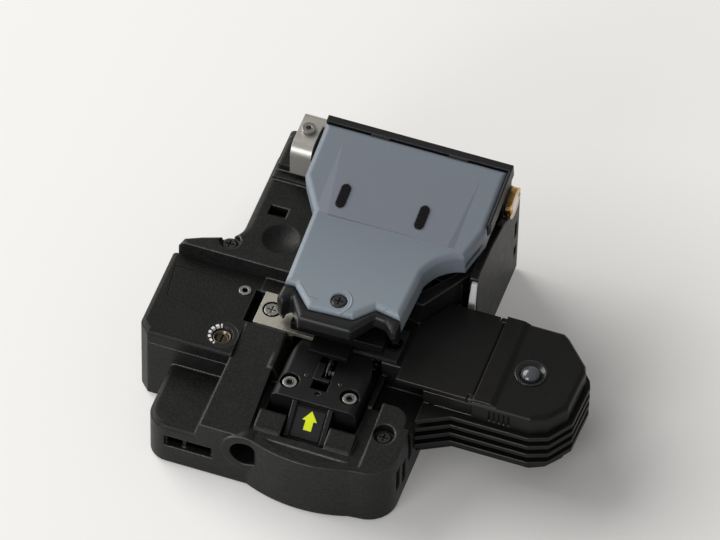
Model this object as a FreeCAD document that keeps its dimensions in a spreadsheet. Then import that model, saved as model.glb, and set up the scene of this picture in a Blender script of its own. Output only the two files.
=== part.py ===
import FreeCAD, Part
import Sketcher
import math
import os

from FreeCAD import Placement, Rotation, Vector

# Fibre cleaver. Millimetres, +Z up, bench at z = 0. The blade plane is x = 0 and the
# fibre lies along X at y = 0. The lever is hinged at the rear, +Y, and the off-cut
# collector stands on the right, +X.

os.makedirs("parts", exist_ok=True)
doc = FreeCAD.newDocument("fibre_cleaver")

SIZES = {
    # housing outline
    "wall": 2.2,
    "front_y": -35.0,
    "bulge": 3.3,
    "low_left": -43.0,
    "deck_left": -52.5,
    "deck_front": -14.5,
    "deck_back": 13.5,
    "ridge_left": -28.6,
    "ridge_slant": 2.8,
    "channel_left": -14.4,
    "channel_right": 17.0,
    "front_right": 26.0,
    "rear_right": 30.0,
    "rear_y": 61.0,
    "neck_left": -36.0,
    "corner_radius": 6.0,
    "soft_edge": 1.6,
    "shoulder_edge": 2.2,
    # housing heights
    "low_top": 16.0,
    "rim_top": 20.6,
    "deck_top": 27.0,
    "shelf_top": 26.4,
    "shoulder_drop": 6.0,
    "side_wall_drop": 1.0,
    "rail_drop": 3.6,
    "right_rise": 24.5,
    # feet and bottom cover
    "foot_height": 1.0,
    "foot_radius": 4.0,
    "cover_thick": 1.6,
    # blade carriage and its cavity
    "carriage_half": 12.0,
    "carriage_front": -22.0,
    "carriage_back": -2.0,
    "carriage_base": 10.6,
    "carriage_top": 26.0,
    "carriage_travel": 12.0,
    "side_gap": 0.5,
    "rod_radius": 1.5,
    "rod_inset": 3.2,
    "rod_level": 14.6,
    "run_gap": 0.03,
    "tab_half": 5.6,
    "blade_radius": 6.5,
    "blade_thick": 0.8,
    "blade_y": -7.5,
    "fibre_level": 28.0,
    # clamps
    "plate_thick": 1.2,
    "plate_front": -2.4,
    "plate_depth": 11.0,
    "plate_left": -24.0,
    "plate_right": 16.6,
    "pad_length": 4.0,
    "pad_half": 1.6,
    "pad_thick": 0.4,
    "clamp_gap": 0.1,
    # hinge
    "hinge_y": 52.0,
    "hinge_drop": 12.0,
    "shaft_radius": 2.5,
    "saddle_radius": 8.4,
    "saddle_rear": 5.2,
    "saddle_thick": 1.6,
    "saddle_left": -30.0,
    "saddle_right": -24.0,
    # lever
    "lever_left": -22.8,
    "lever_right": 29.6,
    "lever_rear": 54.6,
    "neck_half": 17.0,
    "lever_rear_top": 50.0,
    "lever_front_top": 41.0,
    "lever_front": 0.5,
    "lever_skin": 1.8,
    "cover_edge": 1.6,
    "lever_depth": 8.0,
    "grip_front": -5.0,
    # collector
    "box_right": 63.5,
    "box_front": -8.2,
    "box_back": 21.2,
    "box_base": 6.0,
    "box_rim": 21.4,
    "lid_top": 28.0,
    "lid_left": 18.4,
    "seam_x": 38.9,
    "fin_reach": 2.3,
    "fin_thick": 1.3,
    "cap_flare": 0.9,
    "cap_edge": 1.5,
    "button_x": 51.4,
    "button_y": 5.6,
    "button_radius": 2.6,
    "button_travel": 1.5,
    # fasteners
    "cap_head_radius": 1.9,
    "cap_shank_radius": 1.0,
    "pan_head_radius": 2.3,
    "dial_radius": 4.2,
}

sheet = doc.addObject("Spreadsheet::Sheet", "Sizes")
for row, (alias, number) in enumerate(SIZES.items(), start=1):
    sheet.set(f"A{row}", "'" + alias)
    sheet.set(f"B{row}", str(number))
    sheet.setAlias(f"B{row}", alias)
doc.recompute()


class Size:
    """A length that carries both its value and the sheet expression behind it."""

    def __init__(self, value, text):
        self.value = float(value)
        self.text = text

    def __add__(self, other):
        other = size(other)
        return Size(self.value + other.value, f"({self.text} + {other.text})")

    def __sub__(self, other):
        other = size(other)
        return Size(self.value - other.value, f"({self.text} - {other.text})")

    def __mul__(self, other):
        other = size(other)
        return Size(self.value * other.value, f"({self.text} * {other.text})")

    def __truediv__(self, other):
        other = size(other)
        return Size(self.value / other.value, f"({self.text} / {other.text})")

    def __radd__(self, other):
        return size(other) + self

    def __rsub__(self, other):
        return size(other) - self

    def __rmul__(self, other):
        return size(other) * self

    def __neg__(self):
        return size(0) - self


def size(number):
    """The number as a Size; a Size is returned as it is."""
    if isinstance(number, Size):
        return number
    return Size(number, f"({float(number):.6f})")


class Sheet:
    """Reads every alias of the sheet as a Size, such as s.deck_top."""

    def __getattr__(self, name):
        return Size(SIZES[name], "Sizes." + name)


s = Sheet()


def drive(thing, prop, length):
    """Bind a property to the sheet."""
    thing.setExpression(prop, size(length).text)


# ---------------------------------------------------------------- modelling steps

AXES = {
    "X": Rotation(Vector(0, 1, 0), 90),
    "Y": Rotation(Vector(1, 0, 0), -90),
    "Z": Rotation(),
    "down": Rotation(Vector(1, 0, 0), 180),
}
PLANES = {"Z": "XY_Plane", "Y": "XZ_Plane", "X": "YZ_Plane"}


def sketch_on(body, name, normal, points, start):
    """Closed outline across one axis, every corner bound to the sheet.

    A point is (u, v), or (u, v, mid_u, mid_v) for an arc that comes to it through the
    middle point.
    """
    sketch = body.newObject("Sketcher::SketchObject", name)
    plane = next(item for item in body.Origin.OriginFeatures if item.Role == PLANES[normal])
    sketch.AttachmentSupport = (plane, "")
    sketch.MapMode = "FlatFace"
    side = -1 if normal == "Y" else 1
    drive(sketch, "AttachmentOffset.Base.z", size(start) * side)
    corners = [[size(part) for part in point] for point in points]
    place = [Vector(corner[0].value, corner[1].value, 0) for corner in corners]
    rules = []
    bound = []
    ends = []
    for index, corner in enumerate(corners):
        before = place[index - 1]
        here = place[index]
        if len(corner) == 2:
            sketch.addGeometry(Part.LineSegment(before, here))
        else:
            middle = Vector(corner[2].value, corner[3].value, 0)
            sketch.addGeometry(Part.Arc(before, middle, here))
        if (sketch.getPoint(index, 1) - before).Length < (sketch.getPoint(index, 2) - before).Length:
            ends.append((1, 2))
        else:
            ends.append((2, 1))
    count = len(corners)
    for index in range(count):
        after = (index + 1) % count
        rules.append(Sketcher.Constraint("Coincident", index, ends[index][1], after, ends[after][0]))
    for index, corner in enumerate(corners):
        for kind, length in (("DistanceX", corner[0]), ("DistanceY", corner[1])):
            bound.append((len(rules), length))
            rules.append(Sketcher.Constraint(kind, -1, 1, index, ends[index][1], length.value))
    extra = count
    for index, corner in enumerate(corners):
        if len(corner) == 2:
            continue
        sketch.addGeometry(Part.Point(Vector(corner[2].value, corner[3].value, 0)), True)
        rules.append(Sketcher.Constraint("PointOnObject", extra, 1, index))
        for kind, length in (("DistanceX", corner[2]), ("DistanceY", corner[3])):
            bound.append((len(rules), length))
            rules.append(Sketcher.Constraint(kind, -1, 1, extra, 1, length.value))
        extra += 1
    sketch.addConstraint(rules)
    for number, length in bound:
        sketch.setExpression(f"Constraints[{number}]", length.text)
    return sketch


def prism(name, normal, points, start, stop, rounds=()):
    """Outline padded from start to stop along one axis, with chosen edges rounded."""
    body = doc.addObject("PartDesign::Body", name)
    sketch = sketch_on(body, name + "_outline", normal, points, start)
    pad = body.newObject("PartDesign::Pad", name + "_pad")
    pad.Profile = sketch
    pad.Reversed = normal == "Y"
    drive(pad, "Length", size(stop) - start)
    doc.recompute()
    tip = pad
    for radius, pick in rounds:
        names = [f"Edge{i}" for i, edge in enumerate(tip.Shape.Edges, start=1) if pick(edge)]
        rounded = body.newObject("PartDesign::Fillet", name + "_round")
        rounded.Base = (tip, names)
        drive(rounded, "Radius", radius)
        tip = rounded
        body.Tip = tip
        doc.recompute()
    return body


def block(name, x, y, z):
    """Box between two values on each axis."""
    box = doc.addObject("Part::Box", name)
    for prop, (low, high) in zip(("Length", "Width", "Height"), (x, y, z)):
        drive(box, prop, size(high) - low)
    place(box, x[0], y[0], z[0])
    return box


def place(thing, x, y, z):
    """Bind an object's position."""
    for letter, length in zip("xyz", (x, y, z)):
        drive(thing, f"Placement.Base.{letter}", length)


def rod(name, radius, at, stop, axis="Z"):
    """Cylinder from the point at, along one axis as far as stop."""
    bar = doc.addObject("Part::Cylinder", name)
    bar.Placement = Placement(Vector(), AXES[axis])
    drive(bar, "Radius", radius)
    drive(bar, "Height", size(stop) - at["XYZ".index(axis)])
    place(bar, *at)
    return bar


def cone(name, radius, top_radius, at, stop, axis="Z"):
    """Cone frustum from the point at, along one axis as far as stop."""
    bar = doc.addObject("Part::Cone", name)
    bar.Placement = Placement(Vector(), AXES[axis])
    drive(bar, "Radius1", radius)
    drive(bar, "Radius2", top_radius)
    drive(bar, "Height", size(stop) - at["XYZ".index(axis)])
    place(bar, *at)
    return bar


def ball(name, radius, at):
    """Sphere about the point at."""
    sphere = doc.addObject("Part::Sphere", name)
    drive(sphere, "Radius", radius)
    place(sphere, *at)
    return sphere


def join(name, *things):
    """Fuse of several objects."""
    fuse = doc.addObject("Part::MultiFuse", name)
    fuse.Shapes = list(things)
    fuse.Refine = True
    return fuse


def cut(name, thing, *tools):
    """The first object without the others."""
    tool = tools[0] if len(tools) == 1 else join(name + "_tools", *tools)
    result = doc.addObject("Part::Cut", name)
    result.Base = thing
    result.Tool = tool
    return result


def group(name, *things):
    """Several like pieces kept as separate solids of one node."""
    bundle = doc.addObject("Part::Compound", name)
    bundle.Links = list(things)
    return bundle


def upright(edge):
    """A vertical edge."""
    return edge.BoundBox.ZLength > 0.9 * edge.Length


def at_top(level):
    """Picks the edges that lie flat at one height."""
    def pick(edge):
        box = edge.BoundBox
        return abs(box.ZMin - level.value) < 0.01 and box.ZLength < 0.01
    return pick



def at_top_right(level, x):
    """Picks the flat edges at one height that reach to the right of a line."""
    def pick(edge):
        return at_top(level)(edge) and edge.BoundBox.XMax > size(x).value + 0.1
    return pick


def outer_deck_edge(edge):
    """The holder deck's outer top edges, at its front and left."""
    box = edge.BoundBox
    outer = box.YMax < s.deck_back.value - 0.1 or box.XMax < s.deck_left.value + 0.1
    return at_top(s.deck_top)(edge) and outer and box.XMin < s.ridge_left.value


def soft_end(edge):
    """The shoulder's left and rear top edges, from its blunt end to the neck."""
    box = edge.BoundBox
    behind = box.YMax > s.deck_back.value + 0.1
    return at_top(shoulder_top)(edge) and behind and box.XMax < s.neck_left.value + 0.1


def upright_at(x, y, reach=2.5):
    """Picks the vertical edges near one corner."""
    def pick(edge):
        box = edge.BoundBox
        near = abs(box.XMin - size(x).value) < reach and abs(box.YMin - size(y).value) < reach
        return upright(edge) and near
    return pick


PARTS = []


def part(thing, label):
    """Name a finished sub-part after its file."""
    thing.Label = label
    PARTS.append(thing)
    return thing


def cross_recess(name, x, y, top, reach=1.3, deep=0.9, bar=0.45):
    """Cross slot for a screwdriver, cut down from the top of a head."""
    along = block(name + "_along", (x - reach, x + reach), (y - bar / 2, y + bar / 2), (top - deep, top + 1))
    over = block(name + "_over", (x - bar / 2, x + bar / 2), (y - reach, y + reach), (top - deep, top + 1))
    return join(name, along, over)


def hex_recess(name, x, y, top, across=0.85, deep=1.1):
    """Six-sided socket, cut down from the top of a head."""
    corners = []
    for turn in range(6):
        angle = math.radians(60 * turn)
        corners.append((x + across * math.cos(angle), y + across * math.sin(angle)))
    return prism(name, "Z", corners, top - deep, top + 1)


# ---------------------------------------------------------------- housing

hinge_level = s.lever_rear_top - s.hinge_drop
shoulder_top = hinge_level - s.shoulder_drop
side_wall_top = hinge_level - s.side_wall_drop
rail_top = hinge_level - s.rail_drop
rod_spread = s.carriage_half - s.rod_inset
RIGHT_ROUND = 8.0
BOW_START = -14.0
BOW_END = 15.0
BOW_MIDDLE = 2.5
DECK_CHAMFER = 3.0
ROOF = 2.4
BORE_START = 0.5

cavity_front = s.carriage_front - 3.0
cavity_back = s.carriage_back + s.carriage_travel + 4.0
cavity_half = s.carriage_half + s.side_gap
cavity_floor = s.carriage_base - s.side_gap
slot_half = s.tab_half + s.side_gap
slot_front = cavity_front - 6.4
nose_back = s.right_rise + 2.0
deck_right = s.ridge_left + s.ridge_slant
deck_split = s.deck_top - 4.8
tower_gap = 0.6
tower_right = s.lever_left - tower_gap
inner_tower_left = s.lever_right - 10.4
inner_tower_right = s.lever_right - 4.2


def front_outline(left, back):
    """Front half of the housing: straight on the left, bowed under the blade."""
    return [
        (left, s.front_y),
        (BOW_START, s.front_y),
        (BOW_END, s.front_y - 1.2, BOW_MIDDLE, s.front_y - s.bulge),
        (s.front_right, s.front_y),
        (s.front_right, back),
        (left, back),
    ]


def deck_outline(inset=0, back=s.deck_back + 3.0):
    """Holder deck on the left."""
    left = s.deck_left + inset
    front = s.deck_front + inset
    return [
        (left, front + DECK_CHAMFER),
        (left + DECK_CHAMFER, front),
        (deck_right, front),
        (deck_right, back),
        (left, back),
    ]


def shoulder_outline(inset=0):
    """Raised rear half, stepped in from the deck to the neck beside the hinge."""
    left = s.neck_left + inset
    right = s.rear_right - inset
    return [
        (s.deck_left + 1.7 + inset, s.deck_back + inset),
        (s.deck_left + 2.4 + inset, s.deck_back + 2.4 - inset),
        (s.deck_left + 6.6 + inset, s.deck_back + 4.4 - inset),
        (s.neck_left - 3.0 + inset, s.deck_back + 7.0 - inset),
        (left, s.deck_back + 12.0, s.neck_left - 0.8 + inset, s.deck_back + 9.0 - inset),
        (left, s.rear_y - inset),
        (right, s.rear_y - inset),
        (right, s.right_rise + inset),
        (s.channel_right + 0.5 + inset, s.right_rise + inset),
        (s.channel_right + 0.5 + inset, s.deck_back + inset),
    ]


def climbing(name, x, level, bend, crest):
    """Prism across X whose top climbs from the front rim over a bend to its plateau."""
    foot = s.low_top - 4.0
    front = s.front_y - s.bulge - 1.0
    return prism(name, "X", [
        (front, foot),
        (front, s.rim_top),
        (s.front_y + BORE_START, s.rim_top),
        bend,
        (crest, level),
        (nose_back, level),
        (nose_back, foot),
    ], x[0], x[1])


def strap_outline(inset=0):
    """Flat-topped arch over the hinge shaft, seen from the side, shorter at the back."""
    bend = 3.6
    rear_bend = 2.2
    reach = s.saddle_radius - inset
    rear = s.saddle_rear - inset
    foot = hinge_level - 2.4
    flat = reach - bend
    turn = flat + bend * math.sqrt(0.5)
    rear_turn = rear_bend * (1 - math.sqrt(0.5))
    return [
        (s.hinge_y - reach, foot),
        (s.hinge_y - reach, hinge_level + flat),
        (s.hinge_y - flat, hinge_level + reach, s.hinge_y - turn, hinge_level + turn),
        (s.hinge_y + rear - rear_bend, hinge_level + reach),
        (s.hinge_y + rear, hinge_level + reach - rear_bend,
         s.hinge_y + rear - rear_turn, hinge_level + reach - rear_turn),
        (s.hinge_y + rear, foot),
    ]


def tower(name, x, crown):
    """Hinge tower with a round head about the shaft."""
    foot = shoulder_top - 3.0
    return prism(name, "X", [
        (s.hinge_y - crown - 1.0, foot),
        (s.hinge_y - crown, hinge_level),
        (s.hinge_y + crown, hinge_level, s.hinge_y, hinge_level + crown),
        (s.hinge_y + crown + 1.0, foot),
    ], x[0], x[1])


ramp_front = s.carriage_front - 9.5
platform_top = s.deck_top - 2.5
low_block = prism("low_block", "Z", front_outline(s.low_left, s.deck_back + 1.0), s.foot_height, s.low_top, [
    (s.corner_radius, upright_at(s.low_left, s.front_y)),
    (RIGHT_ROUND, upright_at(s.front_right, s.front_y)),
    (s.soft_edge, at_top(s.low_top)),
])
right_block = block("right_block", (s.channel_right, s.front_right), (s.deck_back - 1.0, nose_back),
                    (s.foot_height, s.low_top))
nose_outline = front_outline(s.ridge_left, nose_back)
nose_shape = prism("nose_shape", "Z", nose_outline, s.low_top - 4.0, s.deck_top + 2.0, [
    (RIGHT_ROUND, upright_at(s.front_right, s.front_y)),
])
nose_tops = join(
    "nose_tops",
    climbing("left_ridge", (s.ridge_left, s.channel_left), s.deck_top,
             (s.deck_front, s.deck_top - 1.2), s.plate_front - 1.2),
    block("channel_bed", (s.channel_left - 1.0, s.channel_right + 1.0),
          (s.front_y - s.bulge - 1.0, nose_back), (s.low_top - 4.0, s.rim_top)),
    block("rear_bed", (s.channel_left - 1.0, s.channel_right + 1.0),
          (s.deck_front, nose_back), (s.low_top - 4.0, s.shelf_top)),
    climbing("right_platform", (s.channel_right, s.front_right + 1.0), platform_top,
             (s.deck_front - 2.0, platform_top - 0.4), s.deck_front),
)
nose = doc.addObject("Part::Common", "nose")
nose.Base = nose_shape
nose.Tool = nose_tops
deck_corner = (2.0, upright_at(s.deck_left, s.deck_front + DECK_CHAMFER))
deck = prism("deck", "Z", deck_outline(), s.foot_height, deck_split, [deck_corner])
shoulder = prism("shoulder", "Z", shoulder_outline(), s.foot_height, shoulder_top, [
    (s.shoulder_edge, soft_end),
])
rail = prism("rail", "Z", [
    (s.channel_right - 1.0, s.deck_back - 0.5),
    (s.channel_right + 1.6, s.deck_back - 0.5),
    (s.front_right - 0.1, s.right_rise + 0.8),
    (s.rear_right - 1.0, s.right_rise + 6.5),
    (s.rear_right, s.right_rise + 10.0),
    (s.rear_right - 3.2, s.right_rise + 10.0),
    (s.front_right - 2.6, s.right_rise + 1.6),
    (s.channel_right - 1.0, s.deck_back + 2.6),
], s.low_top, rail_top)
hinge_step = prism("hinge_step", "Z", [
    (s.neck_left + 1.2, s.hinge_y - 9.2),
    (tower_right, s.hinge_y - 9.2),
    (tower_right, s.rear_y - 3.0),
    (s.neck_left + 1.2, s.rear_y - 3.0),
], shoulder_top - 3.0, shoulder_top + 1.6, [(1.0, at_top(shoulder_top + 1.6))])
hinge_block = prism("hinge_block", "Z", [
    (s.neck_left + 2.2, s.hinge_y - s.saddle_radius + s.saddle_thick),
    (tower_right, s.hinge_y - s.saddle_radius + s.saddle_thick),
    (tower_right, s.hinge_y + 3.6),
    (s.neck_left + 5.4, s.hinge_y + 3.6),
    (s.neck_left + 2.2, s.hinge_y, s.neck_left + 3.2, s.hinge_y + 2.5),
], shoulder_top - 3.0, hinge_level - 1.6, [(0.8, at_top(hinge_level - 1.6))])
side_wall = prism("side_wall", "X", [
    (s.right_rise, s.low_top),
    (s.right_rise, side_wall_top - 0.6),
    (s.right_rise + 2.4, side_wall_top),
    (s.hinge_y - 16.0, side_wall_top - 0.4),
    (s.hinge_y - 6.0, side_wall_top - 2.6),
    (s.rear_y, side_wall_top - 10.6),
    (s.rear_y, s.low_top),
], s.rear_right - s.wall, s.rear_right)
knuckles = [
    prism(f"knuckle_{side}", "X", [
        (ramp_front, s.rim_top - 1.0),
        (ramp_front + 1.5, s.rim_top + 1.3, ramp_front + 0.3, s.rim_top + 0.5),
        (cavity_front - 1.4, s.rim_top + 2.0),
        (cavity_front, s.rim_top + 0.8, cavity_front - 0.4, s.rim_top + 1.7),
        (cavity_front, s.rim_top - 1.0),
    ], x[0], x[1])
    for side, x in (("left", (-cavity_half - 0.9, -slot_half)), ("right", (slot_half, cavity_half + 0.9)))
]
gusset = prism("gusset", "Z", [
    (s.front_right - 5.6, s.deck_front + 7.0),
    (s.front_right - 0.4, s.deck_front + 8.6),
    (s.front_right - 1.2, s.deck_front - 0.4),
    (s.front_right - 2.4, s.deck_front - 0.4),
], s.low_top - 2.0, s.low_top + 3.4)
saddle_tower = prism("saddle_tower", "X", strap_outline(s.saddle_thick), s.saddle_left, tower_right)
HOOD_X = -14.3
HOOD_LEVEL = 14.2
hole_radius = 4.3
hood = rod("hole_hood", hole_radius + 2.5, (HOOD_X, s.front_y - 0.6, HOOD_LEVEL), s.front_y + 3.0, "Y")
solid_housing = join(
    "solid_housing", low_block, right_block, nose, deck, shoulder,
    rail, hinge_step, hinge_block, side_wall, *knuckles,
    saddle_tower, hood, tower("inner_tower", (inner_tower_left, inner_tower_right), 5.6),
)

# Cut away from outside.
saddle_x = (s.saddle_left + s.saddle_right) / 2
saddle_screw_y = s.hinge_y - 1.4
shaft_start = s.saddle_left + 0.8
PLATE_RECESS = 2.8
LOUVRES = ((-29.0, 7.6, 8.4), (-24.2, 5.2, 8.4), (-19.4, 9.2, 8.0))
plate_back = s.plate_front + s.plate_depth
bush_at = (-29.6, 7.3)
bush_radius = size(1.65)
dial_at = (deck_right - s.dial_radius - 0.3, size(-9.0))
dial_depth = size(2.4)
COLLECTOR_SCREWS = (2.0, 12.0)
join_level = s.box_base + 6.0
screw_bore = s.cap_shank_radius
plate_screw_y = s.plate_front + 5.6
PLATE_SCREWS = (s.plate_left + 3.5, s.plate_right - 2.4)
SCREW_SPOTS = ((-38.0, 18.5, shoulder_top - 2.4), (20.2, -23.0, s.rim_top - 0.2))
screw_well = s.pan_head_radius + 0.6
outside = [
    block("carriage_cavity", (-cavity_half, cavity_half), (cavity_front, cavity_back),
          (cavity_floor, s.shelf_top + 2.0)),
    block("tab_slot", (-slot_half, slot_half), (slot_front, cavity_front + 1.0),
          (s.low_top - 4.0, s.rim_top + 4.0)),
    block("left_shelf", (s.plate_left - 0.1, -cavity_half + 1.0), (s.plate_front - 0.1, plate_back + 0.1),
          (s.shelf_top, s.deck_top + 1.0)),
    block("left_recess", (s.plate_left - PLATE_RECESS, s.plate_left + 0.5),
          (s.plate_front - 0.1, plate_back + 0.1), (deck_split, s.deck_top + 1.0)),
    block("deck_seat", (s.ridge_left - 1.0, deck_right), (s.deck_front, s.deck_back),
          (deck_split, s.deck_top + 1.0)),
    prism("right_pocket", "Z", [
        (cavity_half + 1.5, s.plate_front - 0.6),
        (cavity_half + 1.5, s.deck_front),
        (s.front_right - 5.5, s.deck_front),
        (s.front_right - 1.4, s.deck_front - 4.0, s.front_right - 2.4, s.deck_front - 1.4),
        (s.front_right - 1.4, s.deck_front - 5.5),
        (s.front_right + 1.0, s.deck_front - 5.5),
        (s.front_right + 1.0, s.plate_front - 0.6),
    ], s.low_top + 1.0, s.deck_top + 1.0),
    block("right_sill", (cavity_half - 0.1, cavity_half + 1.6), (s.deck_front, s.plate_front - 0.6),
          (s.rim_top + 0.6, s.deck_top + 1.0)),
    prism("lip_recess", "Z", [
        (-9.8, s.front_y + 1.6, BOW_MIDDLE, s.front_y - 1.4),
        (13.6, s.front_y + 1.2),
    ], s.rim_top - 0.5, s.rim_top + 0.5),
    prism("rail_gap", "Z", [
        (s.front_right - 0.1, s.right_rise + 0.8),
        (s.front_right - 0.1, s.right_rise - 0.1),
        (s.rear_right - s.wall, s.right_rise - 0.1),
        (s.rear_right - s.wall, s.right_rise + 4.3),
    ], s.low_top + 2.0, rail_top + 1.0),
    prism("ridge_slope", "Y", [
        (s.ridge_left - 1.0, s.low_top),
        (s.ridge_left, s.low_top),
        (s.ridge_left + s.ridge_slant, s.deck_top),
        (s.ridge_left + s.ridge_slant, s.deck_top + 1.0),
        (s.ridge_left - 1.0, s.deck_top + 1.0),
    ], s.front_y - 1.0, s.deck_front),
    prism("channel_slope", "Y", [
        (s.channel_left, s.deck_top),
        (-cavity_half + 0.1, s.rim_top + 2.0),
        (-cavity_half + 0.1, s.deck_top + 1.0),
        (s.channel_left, s.deck_top + 1.0),
    ], s.deck_front - 8.0, s.plate_front - 0.1),
    prism("rear_fall", "X", [
        (s.hinge_y - 5.0, shoulder_top),
        (s.rear_y + 1.0, shoulder_top - 6.4),
        (s.rear_y + 1.0, shoulder_top + 1.0),
        (s.hinge_y - 5.0, shoulder_top + 1.0),
    ], s.neck_left - 1.0, s.neck_left + 0.4),
    block("window", (-37.3, -23.8), (s.front_y - 0.1, s.front_y + 1.0), (7.6, 11.8)),
    block("window_left", (-36.7, -32.4), (s.front_y, s.front_y + s.wall + 1.0), (7.6, 10.4)),
    block("window_right", (-31.4, -24.4), (s.front_y, s.front_y + s.wall + 1.0), (7.6, 10.4)),
    rod("front_hole", hole_radius, (HOOD_X, s.front_y - 1.0, HOOD_LEVEL), s.front_y + 8.4, "Y"),
    block("latch_hole", (-31.7, -26.7), (30.6, 34.1), (shoulder_top - 4.0, shoulder_top + 1.0)),
    ball("thumb_dish", 9.0, (-25.4, 23.6, shoulder_top + 7.4)),
    rod("shaft_hole", s.shaft_radius, (shaft_start, s.hinge_y, hinge_level), s.rear_right - 1.0, "X"),
    rod("saddle_thread", s.cap_shank_radius, (saddle_x, saddle_screw_y, hinge_level + s.shaft_radius + 0.4),
        hinge_level + s.saddle_radius),
]
for index, (x, y, floor) in enumerate(SCREW_SPOTS):
    outside.append(rod(f"screw_well_{index}", screw_well, (x, y, floor), floor + 8.0))
    outside.append(rod(f"screw_thread_{index}", screw_bore, (x, y, floor - 4.0), floor + 1.0))
for index, x in enumerate(PLATE_SCREWS):
    outside.append(rod(f"plate_thread_{index}", screw_bore, (x, plate_screw_y, s.shelf_top - 4.0),
                       s.shelf_top + 1.0))
for index, y in enumerate(COLLECTOR_SCREWS):
    outside.append(rod(f"join_thread_{index}", screw_bore, (s.front_right - 4.0, y, join_level),
                       s.front_right + 1.0, "X"))
for index, (y, low, high) in enumerate(LOUVRES):
    outside.append(block(f"louvre_{index}", (s.front_right - s.wall - 1.0, s.front_right + 1.0),
                         (y, y + 2.6), (low, low + high)))
for index, (low, high) in enumerate(((8.4, 12.4), (16.4, 22.4))):
    outside.append(block(f"rear_slot_{index}", (s.rear_right - s.wall - 1.0, s.rear_right + 1.0),
                         (s.rear_y - 3.6, s.rear_y - 1.8), (low, high)))
rod_ends = (cavity_front - 1.6, cavity_back + 4.0)
for side, x in (("left", -rod_spread), ("right", rod_spread)):
    outside.append(rod(f"rod_hole_{side}", s.rod_radius, (x, rod_ends[0], s.rod_level), rod_ends[1], "Y"))

# Hollow from below, down to the walls.
bed = s.foot_height - 1.0
inside = [
    prism("low_hollow", "Z", [
        (s.low_left + s.wall, s.front_y + s.wall),
        (s.ridge_left + s.wall, s.front_y + s.wall),
        (s.ridge_left + s.wall, s.deck_back),
        (s.low_left + s.wall, s.deck_back),
    ], bed, s.low_top - ROOF, [
        (s.corner_radius - s.wall, upright_at(s.low_left + s.wall, s.front_y + s.wall)),
    ]),
    block("ridge_hollow", (s.ridge_left + s.ridge_slant, -cavity_half - s.wall),
          (s.front_y + 12.0, s.deck_back), (bed, s.rim_top - ROOF)),
    block("deck_hollow", (s.deck_left + s.wall, s.plate_left - PLATE_RECESS - s.wall),
          (s.deck_front + DECK_CHAMFER + 1.0, s.deck_back), (bed, deck_split)),
    block("nose_hollow", (s.ridge_left + s.wall, s.front_right - s.wall),
          (s.front_y + s.wall, s.deck_back + 6.0), (bed, cavity_floor - s.wall)),
    prism("shoulder_hollow", "Z", [
        (s.neck_left + s.wall, cavity_back + 6.0),
        (s.rear_right - s.wall, cavity_back + 6.0),
        (s.rear_right - s.wall, s.rear_y - s.wall),
        (s.neck_left + s.wall, s.rear_y - s.wall),
    ], bed, shoulder_top - 6.4 - ROOF),
    block("platform_hollow", (cavity_half + s.wall, s.front_right - s.wall),
          (s.plate_front - 0.6 + s.wall, s.deck_back - 1.0), (bed, platform_top - ROOF)),
]
cover_inset = s.wall / 2 + 0.1


def cover_outline(inset):
    """Ground outline of the housing, drawn in by an inset."""
    return [
        (s.low_left + inset, s.front_y + inset),
        (s.front_right - inset, s.front_y + inset),
        (s.front_right - inset, s.right_rise + inset),
        (s.rear_right - inset, s.right_rise + inset),
        (s.rear_right - inset, s.rear_y - inset),
        (s.neck_left + inset, s.rear_y - inset),
        (s.neck_left + inset, s.deck_back - inset),
        (s.deck_left + inset, s.deck_back - inset),
        (s.deck_left + inset, s.deck_front + DECK_CHAMFER + inset),
        (s.low_left + inset, s.deck_front + DECK_CHAMFER + inset),
    ]


cover_round = [(s.corner_radius - 0.5, upright_at(s.low_left + cover_inset, s.front_y + cover_inset)),
               (RIGHT_ROUND - 1.0, upright_at(s.front_right - cover_inset, s.front_y + cover_inset))]
inside.append(prism("cover_seat", "Z", cover_outline(cover_inset), bed, s.foot_height + s.cover_thick,
                    cover_round))
hollow_housing = cut("hollow_housing", solid_housing, *outside, *inside)

# Screw posts for the bottom cover stand in the hollow.
COVER_SCREWS = ((-36.0, -28.0), (19.0, -28.0), (-30.0, 52.0), (24.0, 52.0))
post_foot = s.foot_height + s.cover_thick
POST_TOPS = (s.low_top - 1.0, cavity_floor - 1.0, shoulder_top - 8.0, shoulder_top - 8.0)
posts = [rod(f"post_{i}", 3.0, (x, y, post_foot), top)
         for i, ((x, y), top) in enumerate(zip(COVER_SCREWS, POST_TOPS))]
post_bores = [rod(f"post_bore_{i}", s.cap_shank_radius, (x, y, post_foot - 1.0), post_foot + 5.0)
              for i, (x, y) in enumerate(COVER_SCREWS)]
part(cut("housing_with_posts", join("housing_and_posts", hollow_housing, *posts), *post_bores),
     "base_housing")

# Holder deck: a thick plate that closes the left side of the housing.
deck_blank = prism("deck_blank", "Z", deck_outline(0, s.deck_back), deck_split, s.deck_top, [
    deck_corner,
    (s.soft_edge, outer_deck_edge),
])
part(cut("deck_plate", deck_blank,
         block("deck_notch", (s.plate_left - PLATE_RECESS, s.plate_left + 3.0),
               (s.plate_front - 0.1, plate_back + 0.1), (deck_split - 1.0, s.deck_top + 1.0)),
         rod("bush_hole", bush_radius, (*bush_at, s.deck_top - 4.0), s.deck_top + 1.0),
         rod("dial_hole", s.dial_radius, (*dial_at, s.deck_top - dial_depth), s.deck_top + 1.0),
         rod("spindle_hole", 1.6, (*dial_at, deck_split - 1.0), s.deck_top)), "holder_deck")

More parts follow.
